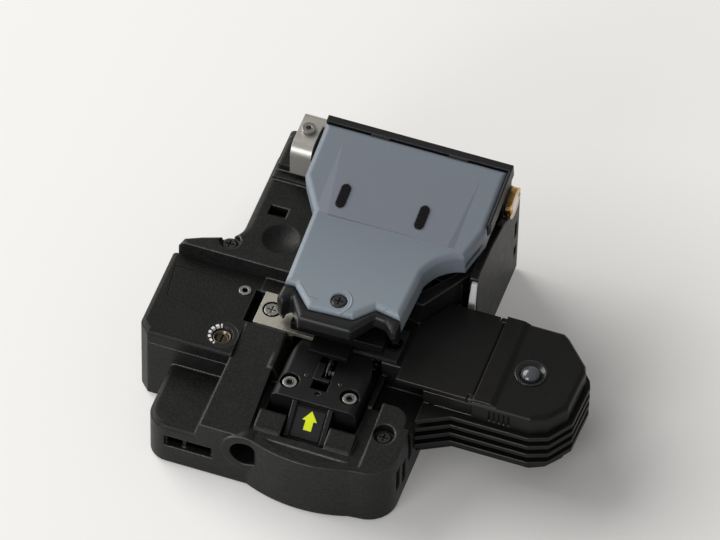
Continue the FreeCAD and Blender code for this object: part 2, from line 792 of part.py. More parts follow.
# Bottom cover, feet and screws.
cover_blank = prism("cover_blank", "Z", cover_outline(cover_inset + 0.1), s.foot_height,
                    s.foot_height + s.cover_thick, cover_round)
foot_seat = 0.5
FEET = ((-34.0, -20.0), (18.0, -18.0), (-27.0, 42.0), (21.0, 42.0))
head_sink = 1.0
cover_holes = [rod(f"foot_seat_{i}", s.foot_radius, (x, y, s.foot_height - 1.0), s.foot_height + foot_seat)
               for i, (x, y) in enumerate(FEET)]
for i, (x, y) in enumerate(COVER_SCREWS):
    cover_holes.append(rod(f"cover_bore_{i}", s.cap_shank_radius, (x, y, s.foot_height - 1.0),
                           post_foot + 1.0))
    cover_holes.append(cone(f"cover_sink_{i}", s.cap_head_radius, s.cap_shank_radius,
                            (x, y, s.foot_height), s.foot_height + head_sink))
part(cut("cover_drilled", cover_blank, *cover_holes), "bottom_cover")
part(group("feet", *[rod(f"foot_{i}", s.foot_radius, (x, y, size(0)), s.foot_height + foot_seat)
                     for i, (x, y) in enumerate(FEET)]), "rubber_feet")


def flat_screw(name, x, y, base):
    """Countersunk screw that points up, its head flush with the underside."""
    body = join(name + "_body",
                cone(name + "_head", s.cap_head_radius, s.cap_shank_radius, (x, y, base), base + head_sink),
                rod(name + "_shank", s.cap_shank_radius, (x, y, base), post_foot + 4.6))
    slot_x = block(name + "_slot_x", (size(x) - 1.1, size(x) + 1.1), (size(y) - 0.2, size(y) + 0.2),
                   (base - 1.0, base + 0.5))
    slot_y = block(name + "_slot_y", (size(x) - 0.2, size(x) + 0.2), (size(y) - 1.1, size(y) + 1.1),
                   (base - 1.0, base + 0.5))
    return cut(name, body, slot_x, slot_y)


part(group("cover_screw_set", *[flat_screw(f"cover_screw_{i}", x, y, s.foot_height)
                                for i, (x, y) in enumerate(COVER_SCREWS)]), "cover_screws")


def pan_screw(name, x, y, seat, deep=3.0, thick=1.0, head=s.pan_head_radius):
    """Cross-head screw that points down, its head standing on a seat."""
    x = size(x)
    y = size(y)
    blank = join(name + "_blank",
                 rod(name + "_rim", head, (x, y, seat), seat + thick * 0.5),
                 cone(name + "_dome", head, head - 0.6, (x, y, seat + thick * 0.5), seat + thick),
                 rod(name + "_shank", s.cap_shank_radius, (x, y, seat - deep), seat + 0.1))
    return cut(name, blank, cross_recess(name + "_cross", x, y, seat + thick, head * 0.55, thick * 0.7))


def socket_screw(name, x, y, seat, deep, thick=1.9, head=s.cap_head_radius):
    """Socket cap screw that points down, its head standing on a seat."""
    x = size(x)
    y = size(y)
    blank = join(name + "_blank",
                 rod(name + "_head", head, (x, y, seat), seat + thick),
                 rod(name + "_shank", s.cap_shank_radius, (x, y, seat - deep), seat + 0.1))
    return cut(name, blank, hex_recess(name + "_hex", x, y, seat + thick))


# ---------------------------------------------------------------- small fixed pieces

part(group("housing_screw_set", *[
    pan_screw(f"housing_screw_{i}", x, y, floor, 4.0) for i, (x, y, floor) in enumerate(SCREW_SPOTS)
]), "housing_screws")
bush_bore = size(0.8)
bush_blank = rod("bush_blank", bush_radius, (*bush_at, s.deck_top - 4.0), s.deck_top + 0.3)
part(cut("bush", bush_blank, rod("bush_bore", bush_bore, (*bush_at, s.deck_top - 4.5), s.deck_top + 1.0)),
     "locating_bush")
dial_inner = s.dial_radius - 1.7
dial_floor = s.deck_top - dial_depth
ring_blank = rod("ring_blank", s.dial_radius, (*dial_at, dial_floor), s.deck_top - 0.1)
part(cut("scale_ring", ring_blank,
         cone("ring_funnel", dial_inner, dial_inner + 0.6, (*dial_at, dial_floor + 1.2), s.deck_top),
         rod("ring_bore", dial_inner, (*dial_at, dial_floor - 0.5), s.deck_top)), "dial_ring")
turn_gap = 0.08
spindle_head = dial_inner - turn_gap
cup_floor = dial_floor + 0.7
cup_top = dial_floor + 1.5
slot_half_long = 1.3
spindle = join("spindle",
               rod("spindle_head", spindle_head, (*dial_at, dial_floor + turn_gap), cup_top),
               rod("spindle_shank", 1.5, (*dial_at, dial_floor - 2.2), dial_floor + 0.5))
part(cut("slotted_spindle", spindle,
         cone("spindle_cup", 1.5, spindle_head - 0.3, (*dial_at, cup_floor), cup_top + 0.01),
         block("spindle_slot", (dial_at[0] - 0.3, dial_at[0] + 0.3),
               (dial_at[1] - slot_half_long, dial_at[1] + slot_half_long), (dial_floor + 0.3, cup_top))),
     "adjust_screw")

# Lower clamps: steel plates that reach over the carriage from each side.
plate_tip = s.pad_half + 0.8
plate_top = s.shelf_top + s.plate_thick
flat_head = size(2.1)
sink_floor = s.shelf_top + 0.1
plate_screws = []
for side, x, screw_x in (("left", (s.plate_left, -plate_tip), PLATE_SCREWS[0]),
                         ("right", (plate_tip, s.plate_right), PLATE_SCREWS[1])):
    blank = block(side + "_plate_blank", x, (s.plate_front, plate_back), (s.shelf_top, plate_top))
    seat = cone(side + "_plate_sink", s.cap_shank_radius, flat_head,
                (screw_x, plate_screw_y, sink_floor), plate_top)
    ring = rod(side + "_plate_ring", flat_head + 0.45,
               (screw_x, plate_screw_y, plate_top - 0.35), plate_top + 1.0)
    bore = rod(side + "_plate_bore", s.cap_shank_radius,
               (screw_x, plate_screw_y, s.shelf_top - 1.0), plate_top)
    notch_x = -10.9 if side == "left" else 9.0
    notch = rod(side + "_plate_notch", 3.2, (notch_x, s.plate_front + 5.2, s.shelf_top - 1.0),
                plate_top + 1.0)
    part(cut(side + "_plate", blank, seat, ring, bore, notch), side + "_clamp_plate")
    head = join(side + "_plate_screw_body",
                cone(side + "_plate_screw_head", s.cap_shank_radius, flat_head,
                     (screw_x, plate_screw_y, sink_floor), plate_top),
                rod(side + "_plate_screw_shank", s.cap_shank_radius,
                    (screw_x, plate_screw_y, s.shelf_top - 4.0), s.shelf_top + 0.2))
    plate_screws.append(cut(side + "_plate_screw", head,
                            cross_recess(side + "_plate_cross", screw_x, plate_screw_y, plate_top, 1.3, 0.7)))
part(group("plate_screw_set", *plate_screws), "clamp_plate_screws")
part(group("lower_pad_set", *[
    block(f"lower_pad_{side}", x, (-s.pad_half, s.pad_half), (plate_top, s.fibre_level))
    for side, x in (("left", (-plate_tip - s.pad_length, -plate_tip)),
                    ("right", (plate_tip, plate_tip + s.pad_length)))
]), "lower_clamp_pads")

# Guide rods and the return spring behind the carriage.
part(group("rod_pair", *[
    rod(f"guide_rod_{side}", s.rod_radius, (x, rod_ends[0], s.rod_level), rod_ends[1], "Y")
    for side, x in (("left", -rod_spread), ("right", rod_spread))
]), "guide_rods")


def coil(name, radius, wire, turns, at, stop, axis, start_at, face):
    """Coil spring from the point at, along one axis as far as stop."""
    spine = doc.addObject("Part::Helix", name + "_spine")
    spine.Placement = Placement(Vector(), AXES[axis])
    length = size(stop) - at["XYZ".index(axis)]
    drive(spine, "Radius", radius)
    drive(spine, "Height", length)
    drive(spine, "Pitch", length / turns)
    place(spine, *at)
    wire_end = doc.addObject("Part::Circle", name + "_wire")
    wire_end.Placement = Placement(Vector(), AXES[face])
    drive(wire_end, "Radius", wire)
    place(wire_end, *start_at)
    sweep = doc.addObject("Part::Sweep", name)
    sweep.Sections = [wire_end]
    sweep.Spine = (spine, ["Edge1"])
    sweep.Solid = True
    sweep.Frenet = True
    return sweep


WIRE = 0.3
coil_radius = s.rod_radius + 0.7
coil_at = (rod_spread, s.carriage_back + WIRE + 0.1, s.rod_level)
part(coil("carriage_coil", coil_radius, WIRE, 9, coil_at, cavity_back - WIRE - 0.1, "Y",
          (rod_spread + coil_radius, coil_at[1], s.rod_level), "down"), "return_spring")

# ---------------------------------------------------------------- hinge

shaft_end = s.lever_right + 1.8
part(rod("shaft", s.shaft_radius, (shaft_start, s.hinge_y, hinge_level), shaft_end, "X"), "hinge_shaft")
saddle_top = hinge_level + s.saddle_radius
saddle_inner = prism("saddle_inner", "X", strap_outline(s.saddle_thick), s.saddle_left - 1.0, tower_right)
saddle_outer = prism("saddle_outer", "X", strap_outline(), s.saddle_left + 0.1, s.saddle_right)
part(cut("saddle", saddle_outer, saddle_inner,
         rod("saddle_bore", s.cap_shank_radius, (saddle_x, saddle_screw_y, hinge_level), saddle_top + 1.0)),
     "hinge_saddle")
part(socket_screw("saddle_bolt", saddle_x, saddle_screw_y, saddle_top, 3.8, 1.2), "saddle_screw")
nut_left = s.lever_right + 0.2
nut = rod("nut_blank", s.shaft_radius + 1.9, (nut_left, s.hinge_y, hinge_level), shaft_end, "X")
part(cut("nut", nut,
         rod("nut_bore", s.shaft_radius, (nut_left - 1.0, s.hinge_y, hinge_level), shaft_end + 1.0, "X"),
         block("nut_slot", (shaft_end - 0.7, shaft_end + 1.0), (s.hinge_y - 6.0, s.hinge_y + 6.0),
               (hinge_level - 0.5, hinge_level + 0.5))), "hinge_nut")
spring_left = s.lever_left + 9.0
part(coil("hinge_coil", s.shaft_radius + 1.0, 0.45, 8, (spring_left, s.hinge_y, hinge_level),
          spring_left + 9.0, "X", (spring_left, s.hinge_y, hinge_level - s.shaft_radius - 1.0), "Y"),
     "lever_spring")

# ---------------------------------------------------------------- lever

lever_length = s.lever_rear - s.lever_front
cover_y = s.lever_rear - 2.0
slope = math.degrees(math.atan2((s.lever_rear_top - s.lever_front_top).value, lever_length.value))
stretch = math.sqrt(1 + math.tan(math.radians(slope)) ** 2)


def tilted(name, points, low, high, rounds=()):
    """Prism square to the sloping top of the lever; heights are below its top face."""
    body = prism(name, "Z", [
        tuple(part if i % 2 == 0 else (size(part) - s.lever_front) * stretch for i, part in enumerate(point))
        for point in points
    ], low, high, rounds)
    body.Placement = Placement(Vector(), Rotation(Vector(1, 0, 0), slope))
    place(body, 0, s.lever_front, s.lever_front_top)
    return body


cover_right = s.lever_right - 0.8
wing_start = s.neck_half * 0.72 + s.lever_right * 0.28
wing_end = s.lever_right - 3.4
nose_y = (s.grip_front + 1.6, 9.6)
frame_neck_front = nose_y[1] - 3.0
hollow_front = frame_neck_front - s.lever_depth * math.sin(math.radians(slope)) - 0.3
lever_outline = [
    (s.lever_left, cover_y),
    (s.lever_left, 35.5),
    (-s.neck_half, 26.0),
    (-s.neck_half, 3.2),
    (-s.neck_half + 2.8, 3.2),
    (-s.neck_half + 8.4, -2.4),
    (s.neck_half - 13.2, -1.8),
    (s.neck_half - 8.4, 2.8),
    (s.neck_half - 1.2, 1.6),
    (s.neck_half, 16.4),
    (wing_end, 24.0, wing_start, 21.4),
    (cover_right, 33.0),
    (cover_right, cover_y),
]
hollow_outline = [
    (s.lever_left + s.lever_skin, cover_y + 1.0),
    (s.lever_left + s.lever_skin, 35.0),
    (-s.neck_half + s.lever_skin, 25.4),
    (-s.neck_half + s.lever_skin, hollow_front),
    (s.neck_half - s.lever_skin, hollow_front),
    (s.neck_half - s.lever_skin, 18.4),
    (wing_start - 1.4, 23.2),
    (wing_end - 1.8, 25.8),
    (cover_right - s.lever_skin, 33.5),
    (cover_right - s.lever_skin, cover_y + 1.0),
]


knuckle_radius = size(4.4)
bush_wall = 0.9
web_top = s.lever_rear_top - 3.2
knuckle_spans = (("left", s.lever_left + s.lever_skin + 0.2, s.lever_left + 7.4),
                 ("right", s.lever_right - 3.6, s.lever_right - 0.2))
cover_outer = tilted("cover_outer", lever_outline, -s.lever_depth, 0, [
    (s.cover_edge, at_top(size(0))),
])
cover_inner = tilted("cover_inner", hollow_outline, -s.lever_depth - 1.0, -s.lever_skin)
SLOT_X = (-10.8, 11.4)
INSERT_HALF = 1.25
slot_ends = (29.7, 34.5)


def oblong(name, x, half, ends, low, high):
    """Round-ended bar along Y, square to the lever's top."""
    return tilted(name, [
        (x - half, ends[0]),
        (x + half, ends[0], x, ends[0] - half),
        (x + half, ends[1]),
        (x - half, ends[1], x, ends[1] + half),
    ], low, high)


cover_pockets = [
    oblong(f"insert_pocket_{i}", x, INSERT_HALF, slot_ends, -0.9, 1.0)
    for i, x in enumerate(SLOT_X)
]
lever_screw_at = (-1.2, 1.6)
screw_pocket_deep = 1.0
screw_rise = (lever_screw_at[1] - s.lever_front) * math.tan(math.radians(slope))
screw_level = s.lever_front_top + screw_rise - screw_pocket_deep
lever_screw_well = rod("lever_screw_well", s.pan_head_radius, (*lever_screw_at, screw_level),
                       screw_level + 6.0)
lever_screw_deep = 9.0
lever_screw_bore = rod("lever_screw_bore", screw_bore, (*lever_screw_at, screw_level - lever_screw_deep),
                       screw_level)
nose_x = (-s.neck_half + 4.0, s.neck_half - 4.0)
nose_bottom = s.fibre_level + 2.3
nose_top = nose_bottom + 2.8
knuckle_notches = [
    block(f"knuckle_notch_{side}", (low - 0.1, high + 0.1),
          (s.hinge_y - knuckle_radius - 0.1, s.lever_rear + 1.0), (hinge_level, web_top))
    for side, low, high in knuckle_spans
]
nose_notch = block("nose_notch", nose_x, (nose_y[0] - 1.0, nose_y[1]), (nose_bottom - 2.0, nose_top))
CATCHES = ((-10.0, -4.7), (12.0, 17.7))
catch_deep = size(1.2)
catch_notches = [
    tilted(f"catch_notch_{i}", [
        (low, cover_y - 0.7),
        (high, cover_y - 0.7),
        (high, cover_y + 1.0),
        (low, cover_y + 1.0),
    ], -catch_deep, 1.0)
    for i, (low, high) in enumerate(CATCHES)
]
wing_slot_level = s.lever_front_top - 2.2
wing_slot = prism("wing_slot", "X", [
    (26.2, wing_slot_level, 25.0, wing_slot_level + 1.0),
    (31.6, wing_slot_level + 0.9),
    (31.6, wing_slot_level + 3.2, 32.8, wing_slot_level + 2.1),
    (26.2, wing_slot_level + 2.3),
], wing_end - 2.0, s.lever_right + 1.0)
part(cut("cover_shell", cover_outer, cover_inner, *cover_pockets, lever_screw_well, lever_screw_bore,
         nose_notch, wing_slot, *knuckle_notches, *catch_notches), "lever_cover")
inserts = []
for i, x in enumerate(SLOT_X):
    pad = oblong(f"insert_{i}", x, INSERT_HALF, slot_ends, -0.9, 0.35)
    inserts.append(pad)
part(group("insert_pair", *inserts), "slot_inserts")
part(pan_screw("grip_screw", *lever_screw_at, screw_level, lever_screw_deep), "lever_screw")

GRIP_LIP = 0.9
grip_top = size(-1.4)
grip_lip = tilted("grip_lip", [
    (-s.neck_half - 0.4, 3.1),
    (-s.neck_half - 0.9, -1.0),
    (-s.neck_half + 1.0, -2.2),
    (-s.neck_half + 3.0, -0.2),
    (-s.neck_half + 6.8, s.grip_front - 0.6),
    (s.neck_half - 12.6, s.grip_front - 0.4),
    (s.neck_half - 7.8, 0.6),
    (s.neck_half - 5.0, 0.2),
    (s.neck_half - 2.4, -2.2),
    (s.neck_half - 1.0, -1.6),
    (s.neck_half - 1.0, 1.5),
    (s.neck_half - 8.4, 2.7),
    (s.neck_half - 13.2, -1.9),
    (-s.neck_half + 8.4, -2.5),
    (-s.neck_half + 2.8, 3.1),
], -6.8, grip_top, [(GRIP_LIP, at_top(grip_top))])
grip_ears = [
    tilted(f"grip_ear_{side}", points, -9.4, grip_top - 2.0)
    for side, points in (
        ("left", [
            (-s.neck_half - 0.4, 2.6),
            (-s.neck_half - 0.9, -0.8),
            (-s.neck_half + 0.9, -1.9),
            (-s.neck_half + 1.6, 2.6),
        ]),
        ("right", [
            (s.neck_half - 3.8, 0.4),
            (s.neck_half - 2.4, -2.0),
            (s.neck_half - 1.0, -1.4),
            (s.neck_half - 1.0, 1.2),
        ]),
    )
]
part(join("grip_bar", grip_lip, *grip_ears), "lever_grip")

frame_plate = tilted("frame_plate", [
    (s.lever_left + s.lever_skin + 0.4, cover_y),
    (s.lever_left + s.lever_skin + 0.4, 37.0),
    (-s.neck_half + s.lever_skin + 0.6, 26.0),
    (-s.neck_half + s.lever_skin + 0.6, 6.0),
    (s.neck_half - s.lever_skin - 0.6, 6.0),
    (s.neck_half - s.lever_skin - 0.6, 18.5),
    (s.lever_right - 6.4, 28.0),
    (s.lever_right - 3.4, 37.0),
    (s.lever_right - 3.4, cover_y),
], -s.lever_skin - 2.6, -s.lever_skin)
frame_rear = tilted("frame_rear", [
    (s.lever_left, cover_y + 0.1),
    (s.lever_left, s.lever_rear),
    (s.lever_right, s.lever_rear),
    (s.lever_right, 36.0),
    (s.lever_right - 0.7, 34.6),
    (s.lever_right - 0.7, cover_y + 0.1),
], -4.7, 0.2)
frame_parts = [frame_plate, frame_rear]
for i, (low, high) in enumerate(CATCHES):
    frame_parts.append(tilted(f"catch_{i}", [
        (low + 0.1, cover_y - 0.6),
        (high - 0.1, cover_y - 0.6),
        (high - 0.1, cover_y + 0.2),
        (low + 0.1, cover_y + 0.2),
    ], 0.1 - catch_deep, -0.2))
for side, low, high in knuckle_spans:
    frame_parts.append(rod(f"knuckle_round_{side}", knuckle_radius, (low, s.hinge_y, hinge_level), high, "X"))
    frame_parts.append(block(f"knuckle_web_{side}", (low, high),
                             (s.hinge_y - knuckle_radius, s.lever_rear - 0.5), (hinge_level, web_top)))
frame_parts.append(block("frame_nose", nose_x, nose_y, (nose_bottom, nose_top)))
frame_parts.append(block("frame_neck", nose_x, (frame_neck_front, nose_y[1]),
                         (nose_bottom, s.lever_front_top - 2.4)))
slide_gap = 0.15
carrier_x = (plate_tip, plate_tip + s.pad_length)
carrier_top = nose_bottom + 1.0
frame_cuts = []
for side, sign in (("left", -1), ("right", 1)):
    pocket = (sign * (carrier_x[0] - slide_gap), sign * (carrier_x[1] + slide_gap))
    low, high = sorted(pocket, key=lambda v: v.value)
    frame_cuts.append(block(f"carrier_pocket_{side}", (low, high),
                            (-s.pad_half - slide_gap, s.pad_half + slide_gap),
                            (nose_bottom - 1.0, carrier_top + 1.3)))
for side, low, high in knuckle_spans:
    frame_cuts.append(rod(f"bush_seat_{side}", s.shaft_radius + bush_wall,
                          (low - 1.0, s.hinge_y, hinge_level), high + 1.0, "X"))
frame_cuts.append(rod("frame_screw_bore", screw_bore, (*lever_screw_at, screw_level - lever_screw_deep),
                      screw_level))
part(cut("frame_bored", join("frame_body", *frame_parts), *frame_cuts), "lever_frame")
part(group("bush_pair", *[
    cut(f"hinge_bush_{side}",
        rod(f"bush_outer_{side}", s.shaft_radius + bush_wall, (low, s.hinge_y, hinge_level), high, "X"),
        rod(f"bush_inner_{side}", s.shaft_radius + s.run_gap, (low - 1.0, s.hinge_y, hinge_level),
            high + 1.0, "X"))
    for side, low, high in knuckle_spans
]), "hinge_bushes")
part(block("release_plate", (-6.2, 4.8), (s.grip_front - 3.4, -s.pad_half - 0.6),
           (s.fibre_level + 0.8, nose_bottom)), "release_nose")
part(block("anvil_block", (-1.0, 1.0), (-1.2, 1.2), (s.fibre_level + 0.8, nose_bottom)), "anvil")
part(block("anvil_rubber", (-1.0, 1.0), (-1.2, 1.2), (s.fibre_level + 0.3, s.fibre_level + 0.8)), "anvil_pad")
pad_face = s.fibre_level + s.clamp_gap
for side, x in (("left", (-carrier_x[1], -carrier_x[0])), ("right", carrier_x)):
    part(block(f"{side}_carrier", x, (-s.pad_half, s.pad_half), (pad_face + 0.5, carrier_top)),
         f"{side}_clamp_carrier")
    upper_pad = block(f"{side}_upper", x, (-s.pad_half, s.pad_half), (pad_face, pad_face + 0.5))
    part(upper_pad, f"{side}_upper_pad")

# ---------------------------------------------------------------- blade carriage

blade_level = s.fibre_level - 0.1 - s.blade_radius
blade_left = -s.blade_thick / 2
blade_right = s.blade_thick / 2
arm_left = size(-3.0)
arm_right = blade_left - 0.6
SCREW_X = 8.4
pin_radius = size(0.7)


def link_pin(sign):
    """Place of a small guide pin beside the blade arm."""
    return sign * 4.8, s.blade_y - 6.0


carriage_screw_y = s.carriage_front + 5.2
screw_seat = s.carriage_top - 2.5
height_screw_at = (0.0, s.carriage_front + 3.4)
carriage_blank = prism("carriage_blank", "Y", [
    (-s.carriage_half, s.carriage_base),
    (s.carriage_half, s.carriage_base),
    (s.carriage_half, s.carriage_top - 2.6),
    (s.carriage_half - 2.2, s.carriage_top, s.carriage_half - 0.6, s.carriage_top - 0.8),
    (-s.carriage_half + 2.2, s.carriage_top),
    (-s.carriage_half, s.carriage_top - 2.6, -s.carriage_half + 0.6, s.carriage_top - 0.8),
], s.carriage_front, s.carriage_back)
carriage_cuts = [
    block("arm_slot", (arm_left, blade_right + 1.4), (s.blade_y - 6.9, s.carriage_back + 1.0),
          (blade_level - s.blade_radius - 0.6, s.carriage_top + 1.0)),
    block("thumb_recess", (-2.6, 2.0), (s.carriage_front + 4.6, s.blade_y - 6.0),
          (s.carriage_top - 3.6, s.carriage_top + 1.0)),
    rod("height_screw_hole", 0.7, (*height_screw_at, s.carriage_top - 6.0), s.carriage_top + 1.0),
]
for side, sign in (("left", -1), ("right", 1)):
    carriage_cuts.append(rod(f"carriage_bore_{side}", s.rod_radius + s.run_gap,
                             (sign * rod_spread, s.carriage_front - 1.0, s.rod_level),
                             s.carriage_back + 1.0, "Y"))
    carriage_cuts.append(rod(f"link_pin_bore_{side}", pin_radius, (*link_pin(sign), s.carriage_top - 3.0),
                             s.carriage_top + 1.0))
    carriage_cuts.append(rod(f"head_well_{side}", s.cap_head_radius + 0.75,
                             (sign * SCREW_X, carriage_screw_y, screw_seat), s.carriage_top + 1.0))
    carriage_cuts.append(rod(f"head_thread_{side}", s.cap_shank_radius,
                             (sign * SCREW_X, carriage_screw_y, screw_seat - 5.0), screw_seat + 0.5))
    carriage_cuts.append(prism(f"cheek_cut_{side}", "Z", [
        (sign * (s.carriage_half + 1.0), s.carriage_front + 9.0),
        (sign * s.carriage_half, s.carriage_front + 9.0),
        (sign * (s.carriage_half - 2.8), s.carriage_back + 1.0,
         sign * (s.carriage_half - 0.8), s.carriage_front + 15.5),
        (sign * (s.carriage_half + 1.0), s.carriage_back + 1.0),
    ], s.carriage_top - 6.0, s.carriage_top + 1.0))
part(cut("carriage", carriage_blank, *carriage_cuts), "blade_carriage")
part(group("carriage_screw_set", *[
    socket_screw(f"carriage_screw_{side}", sign * SCREW_X, carriage_screw_y, screw_seat, 4.8)
    for side, sign in (("left", -1), ("right", 1))
]), "carriage_screws")
part(group("link_pin_pair", *[
    rod(f"link_pin_{side}", pin_radius, (*link_pin(sign), s.carriage_top - 3.0), s.carriage_top + 0.15)
    for side, sign in (("left", -1), ("right", 1))
]), "link_pins")
part(rod("set_screw", 0.7, (*height_screw_at, s.carriage_top - 6.0), s.carriage_top - 0.8), "height_screw")
tab_nose = s.carriage_front - 8.8
tab_low = s.low_top + 0.4
tab = prism("tab_plate", "X", [
    (s.carriage_front, s.carriage_top - 2.0),
    (tab_nose + 0.7, s.carriage_top - 7.7),
    (tab_nose, tab_low + 1.0),
    (tab_nose + 0.8, tab_low),
    (s.carriage_front, tab_low + 2.4),
], -s.tab_half, s.tab_half)
flange_wide = 1.2
flanges = [prism(f"tab_flange_{side}", "X", [
    (s.carriage_front, s.carriage_top - 0.6),
    (tab_nose + 2.4, s.carriage_top - 5.6),
    (tab_nose - 0.2, tab_low + 1.2, tab_nose + 0.5, s.carriage_top - 6.8),
    (tab_nose + 0.8, tab_low),
    (s.carriage_front, tab_low + 2.4),
], low, high) for side, low, high in (("left", -s.tab_half, flange_wide - s.tab_half),
                                      ("right", s.tab_half - flange_wide, s.tab_half))]
part(join("tab_with_flanges", tab, *flanges), "push_tab")
tab_fall = (s.carriage_top - 2.0 - (s.carriage_top - 7.7)) / (s.carriage_front - tab_nose - 0.7)
label_back = s.carriage_front - 0.7
label_front = tab_nose + 1.6
label_level = s.carriage_top - 2.0
part(prism("label_plate", "X", [
    (label_back, label_level + (label_back - s.carriage_front) * tab_fall),
    (label_front, label_level + (label_front - s.carriage_front) * tab_fall),
    (label_front, label_level + 0.4 + (label_front - s.carriage_front) * tab_fall),
    (label_back, label_level + 0.4 + (label_back - s.carriage_front) * tab_fall),
], -s.tab_half + flange_wide + 0.6, s.tab_half - flange_wide - 0.6), "arrow_label")
axle_radius = size(1.0)
arm_top = s.carriage_top + 0.1
arm_blank = prism("arm_blank", "X", [
    (s.blade_y - 5.6, blade_level - 2.4),
    (s.blade_y + 2.6, blade_level - 2.4),
    (s.blade_y + 2.6, blade_level + 2.0),
    (s.blade_y - 1.0, arm_top),
    (s.blade_y - 5.6, arm_top),
], arm_left, arm_right)
arm_bar = block("arm_bar", (arm_left, 1.6), (s.blade_y - 6.6, s.blade_y - 5.6), (arm_top - 1.1, arm_top))
part(cut("arm", join("arm_body", arm_blank, arm_bar),
         rod("arm_bore", axle_radius, (arm_left - 1.0, s.blade_y, blade_level), arm_right + 1.0, "X")),
     "blade_arm")
axle_head = blade_right + 0.1
part(join("axle",
          rod("axle_rod", axle_radius, (arm_left, s.blade_y, blade_level), axle_head + 0.1, "X"),
          rod("axle_head", 1.9, (axle_head, s.blade_y, blade_level), axle_head + 0.8, "X"),
          cut("axle_collar",
              rod("collar_round", 1.7, (arm_right, s.blade_y, blade_level), blade_left - 0.1, "X"),
              rod("collar_core", axle_radius, (arm_right - 1.0, s.blade_y, blade_level), blade_left, "X"))),
     "blade_axle")
INDEX_HOLES = 16
bevel = size(0.7)
wheel_cuts = [rod("wheel_bore", axle_radius + s.run_gap, (blade_left - 1.0, s.blade_y, blade_level),
                  blade_right + 1.0, "X")]
for index in range(INDEX_HOLES):
    angle = 2 * math.pi * index / INDEX_HOLES
    wheel_cuts.append(rod(f"index_hole_{index}", 0.35, (
        blade_left - 1.0,
        s.blade_y + (s.blade_radius - 2.2) * math.cos(angle),
        blade_level + (s.blade_radius - 2.2) * math.sin(angle),
    ), blade_right + 1.0, "X"))
part(cut("wheel", join(
    "wheel_blank",
    cone("wheel_left", s.blade_radius - bevel, s.blade_radius, (blade_left, s.blade_y, blade_level), 0, "X"),
    cone("wheel_right", s.blade_radius, s.blade_radius - bevel, (size(0), s.blade_y, blade_level),
         blade_right, "X"),
), *wheel_cuts), "blade_wheel")

# ---------------------------------------------------------------- collector

box_left = s.front_right + 0.1
FLARE = 4.6
box_wall = size(1.6)
sill = s.lid_top - 1.8
skin_gap = 0.1


def box_outline(left, grow=0, flared=0):
    """Collector from above: cut corners at the far end, flared beside the housing."""
    front = s.box_front - grow
    back = s.box_back + grow
    right = s.box_right + grow
    return [
        (left, front - flared),
        (left + 2.0 + flared * 1.4, front),
        (s.box_right - 7.4, front),
        (s.box_right - 3.4 + grow * 0.5, s.box_front + 2.0 - grow),
        (right, s.box_front + 6.4),
        (right + 0.6, s.box_back - 9.8),
        (right - 0.2, s.box_back - 7.6),
        (s.box_right - 6.6 + grow * 0.5, s.box_back - 1.0 + grow * 0.8),
        (s.box_right - 7.8, back),
        (left, back),
    ]


band_left = s.seam_x + 0.9
FINS = 4
fin_pitch = (s.box_rim - s.box_base - 1.7) / FINS
box_parts = [
    prism("box_body", "Z", box_outline(box_left, 0, FLARE), s.box_base, s.box_rim),
]
for index in range(FINS):
    level = s.box_rim - s.fin_thick - fin_pitch * index
    fin_outline = box_outline(box_left, s.fin_reach, FLARE)
    box_parts.append(prism(f"fin_{index}", "Z", fin_outline, level, level + s.fin_thick))
box_hollow = prism("box_hollow", "Z", [
    (box_left + box_wall, s.box_front + box_wall - FLARE + 2.4),
    (box_left + 8.6, s.box_front + box_wall),
    (s.box_right - 8.0, s.box_front + box_wall),
    (s.box_right - box_wall, s.box_front + 7.2),
    (s.box_right - box_wall, s.box_back - 8.6),
    (s.box_right - 8.2, s.box_back - box_wall),
    (box_left + box_wall, s.box_back - box_wall),
], s.box_base + box_wall, s.lid_top)
roller_at = (s.front_right + 5.2, s.lid_top - 5.6)
roller_radius = size(3.4)
roller_ends = (s.box_front + 0.3, s.box_back - 0.3)
box_bores = [rod("roller_seat", 1.0 + s.run_gap, (roller_at[0], roller_ends[0] - 0.2, roller_at[1]),
                 roller_ends[1] + 0.2, "Y")]
for index, y in enumerate(COLLECTOR_SCREWS):
    box_bores.append(rod(f"box_bore_{index}", s.cap_shank_radius, (box_left - 1.0, y, join_level),
                        box_left + 3.0, "X"))
cheeks = [
    block(f"box_cheek_{side}", (box_left, band_left - 0.1), span, (s.box_rim - 1.0, sill))
    for side, span in (
        ("front", (s.box_front, s.box_front + box_wall)),
        ("back", (s.box_back - box_wall, s.box_back)),
    )
]
box_shell = join("box_shell", cut("box_hollowed", join("box_solid", *box_parts), box_hollow), *cheeks)
part(cut("box", box_shell, *box_bores), "collector_box")
join_seat = box_left + box_wall
part(group("join_screws", *[
    join(f"join_screw_{index}",
         rod(f"join_shank_{index}", s.cap_shank_radius, (join_seat - 5.4, y, join_level),
             join_seat + 0.1, "X"),
         rod(f"join_head_{index}", s.cap_head_radius, (join_seat, y, join_level), join_seat + 1.4, "X"))
    for index, y in enumerate(COLLECTOR_SCREWS)
]), "collector_screws")
part(join("roller",
          rod("roller_shaft", 1.0, (roller_at[0], roller_ends[0], roller_at[1]), roller_ends[1], "Y"),
          rod("roller_sleeve", roller_radius, (roller_at[0], s.box_front + 5.0, roller_at[1]),
              s.box_back - 5.0, "Y")), "feed_roller")

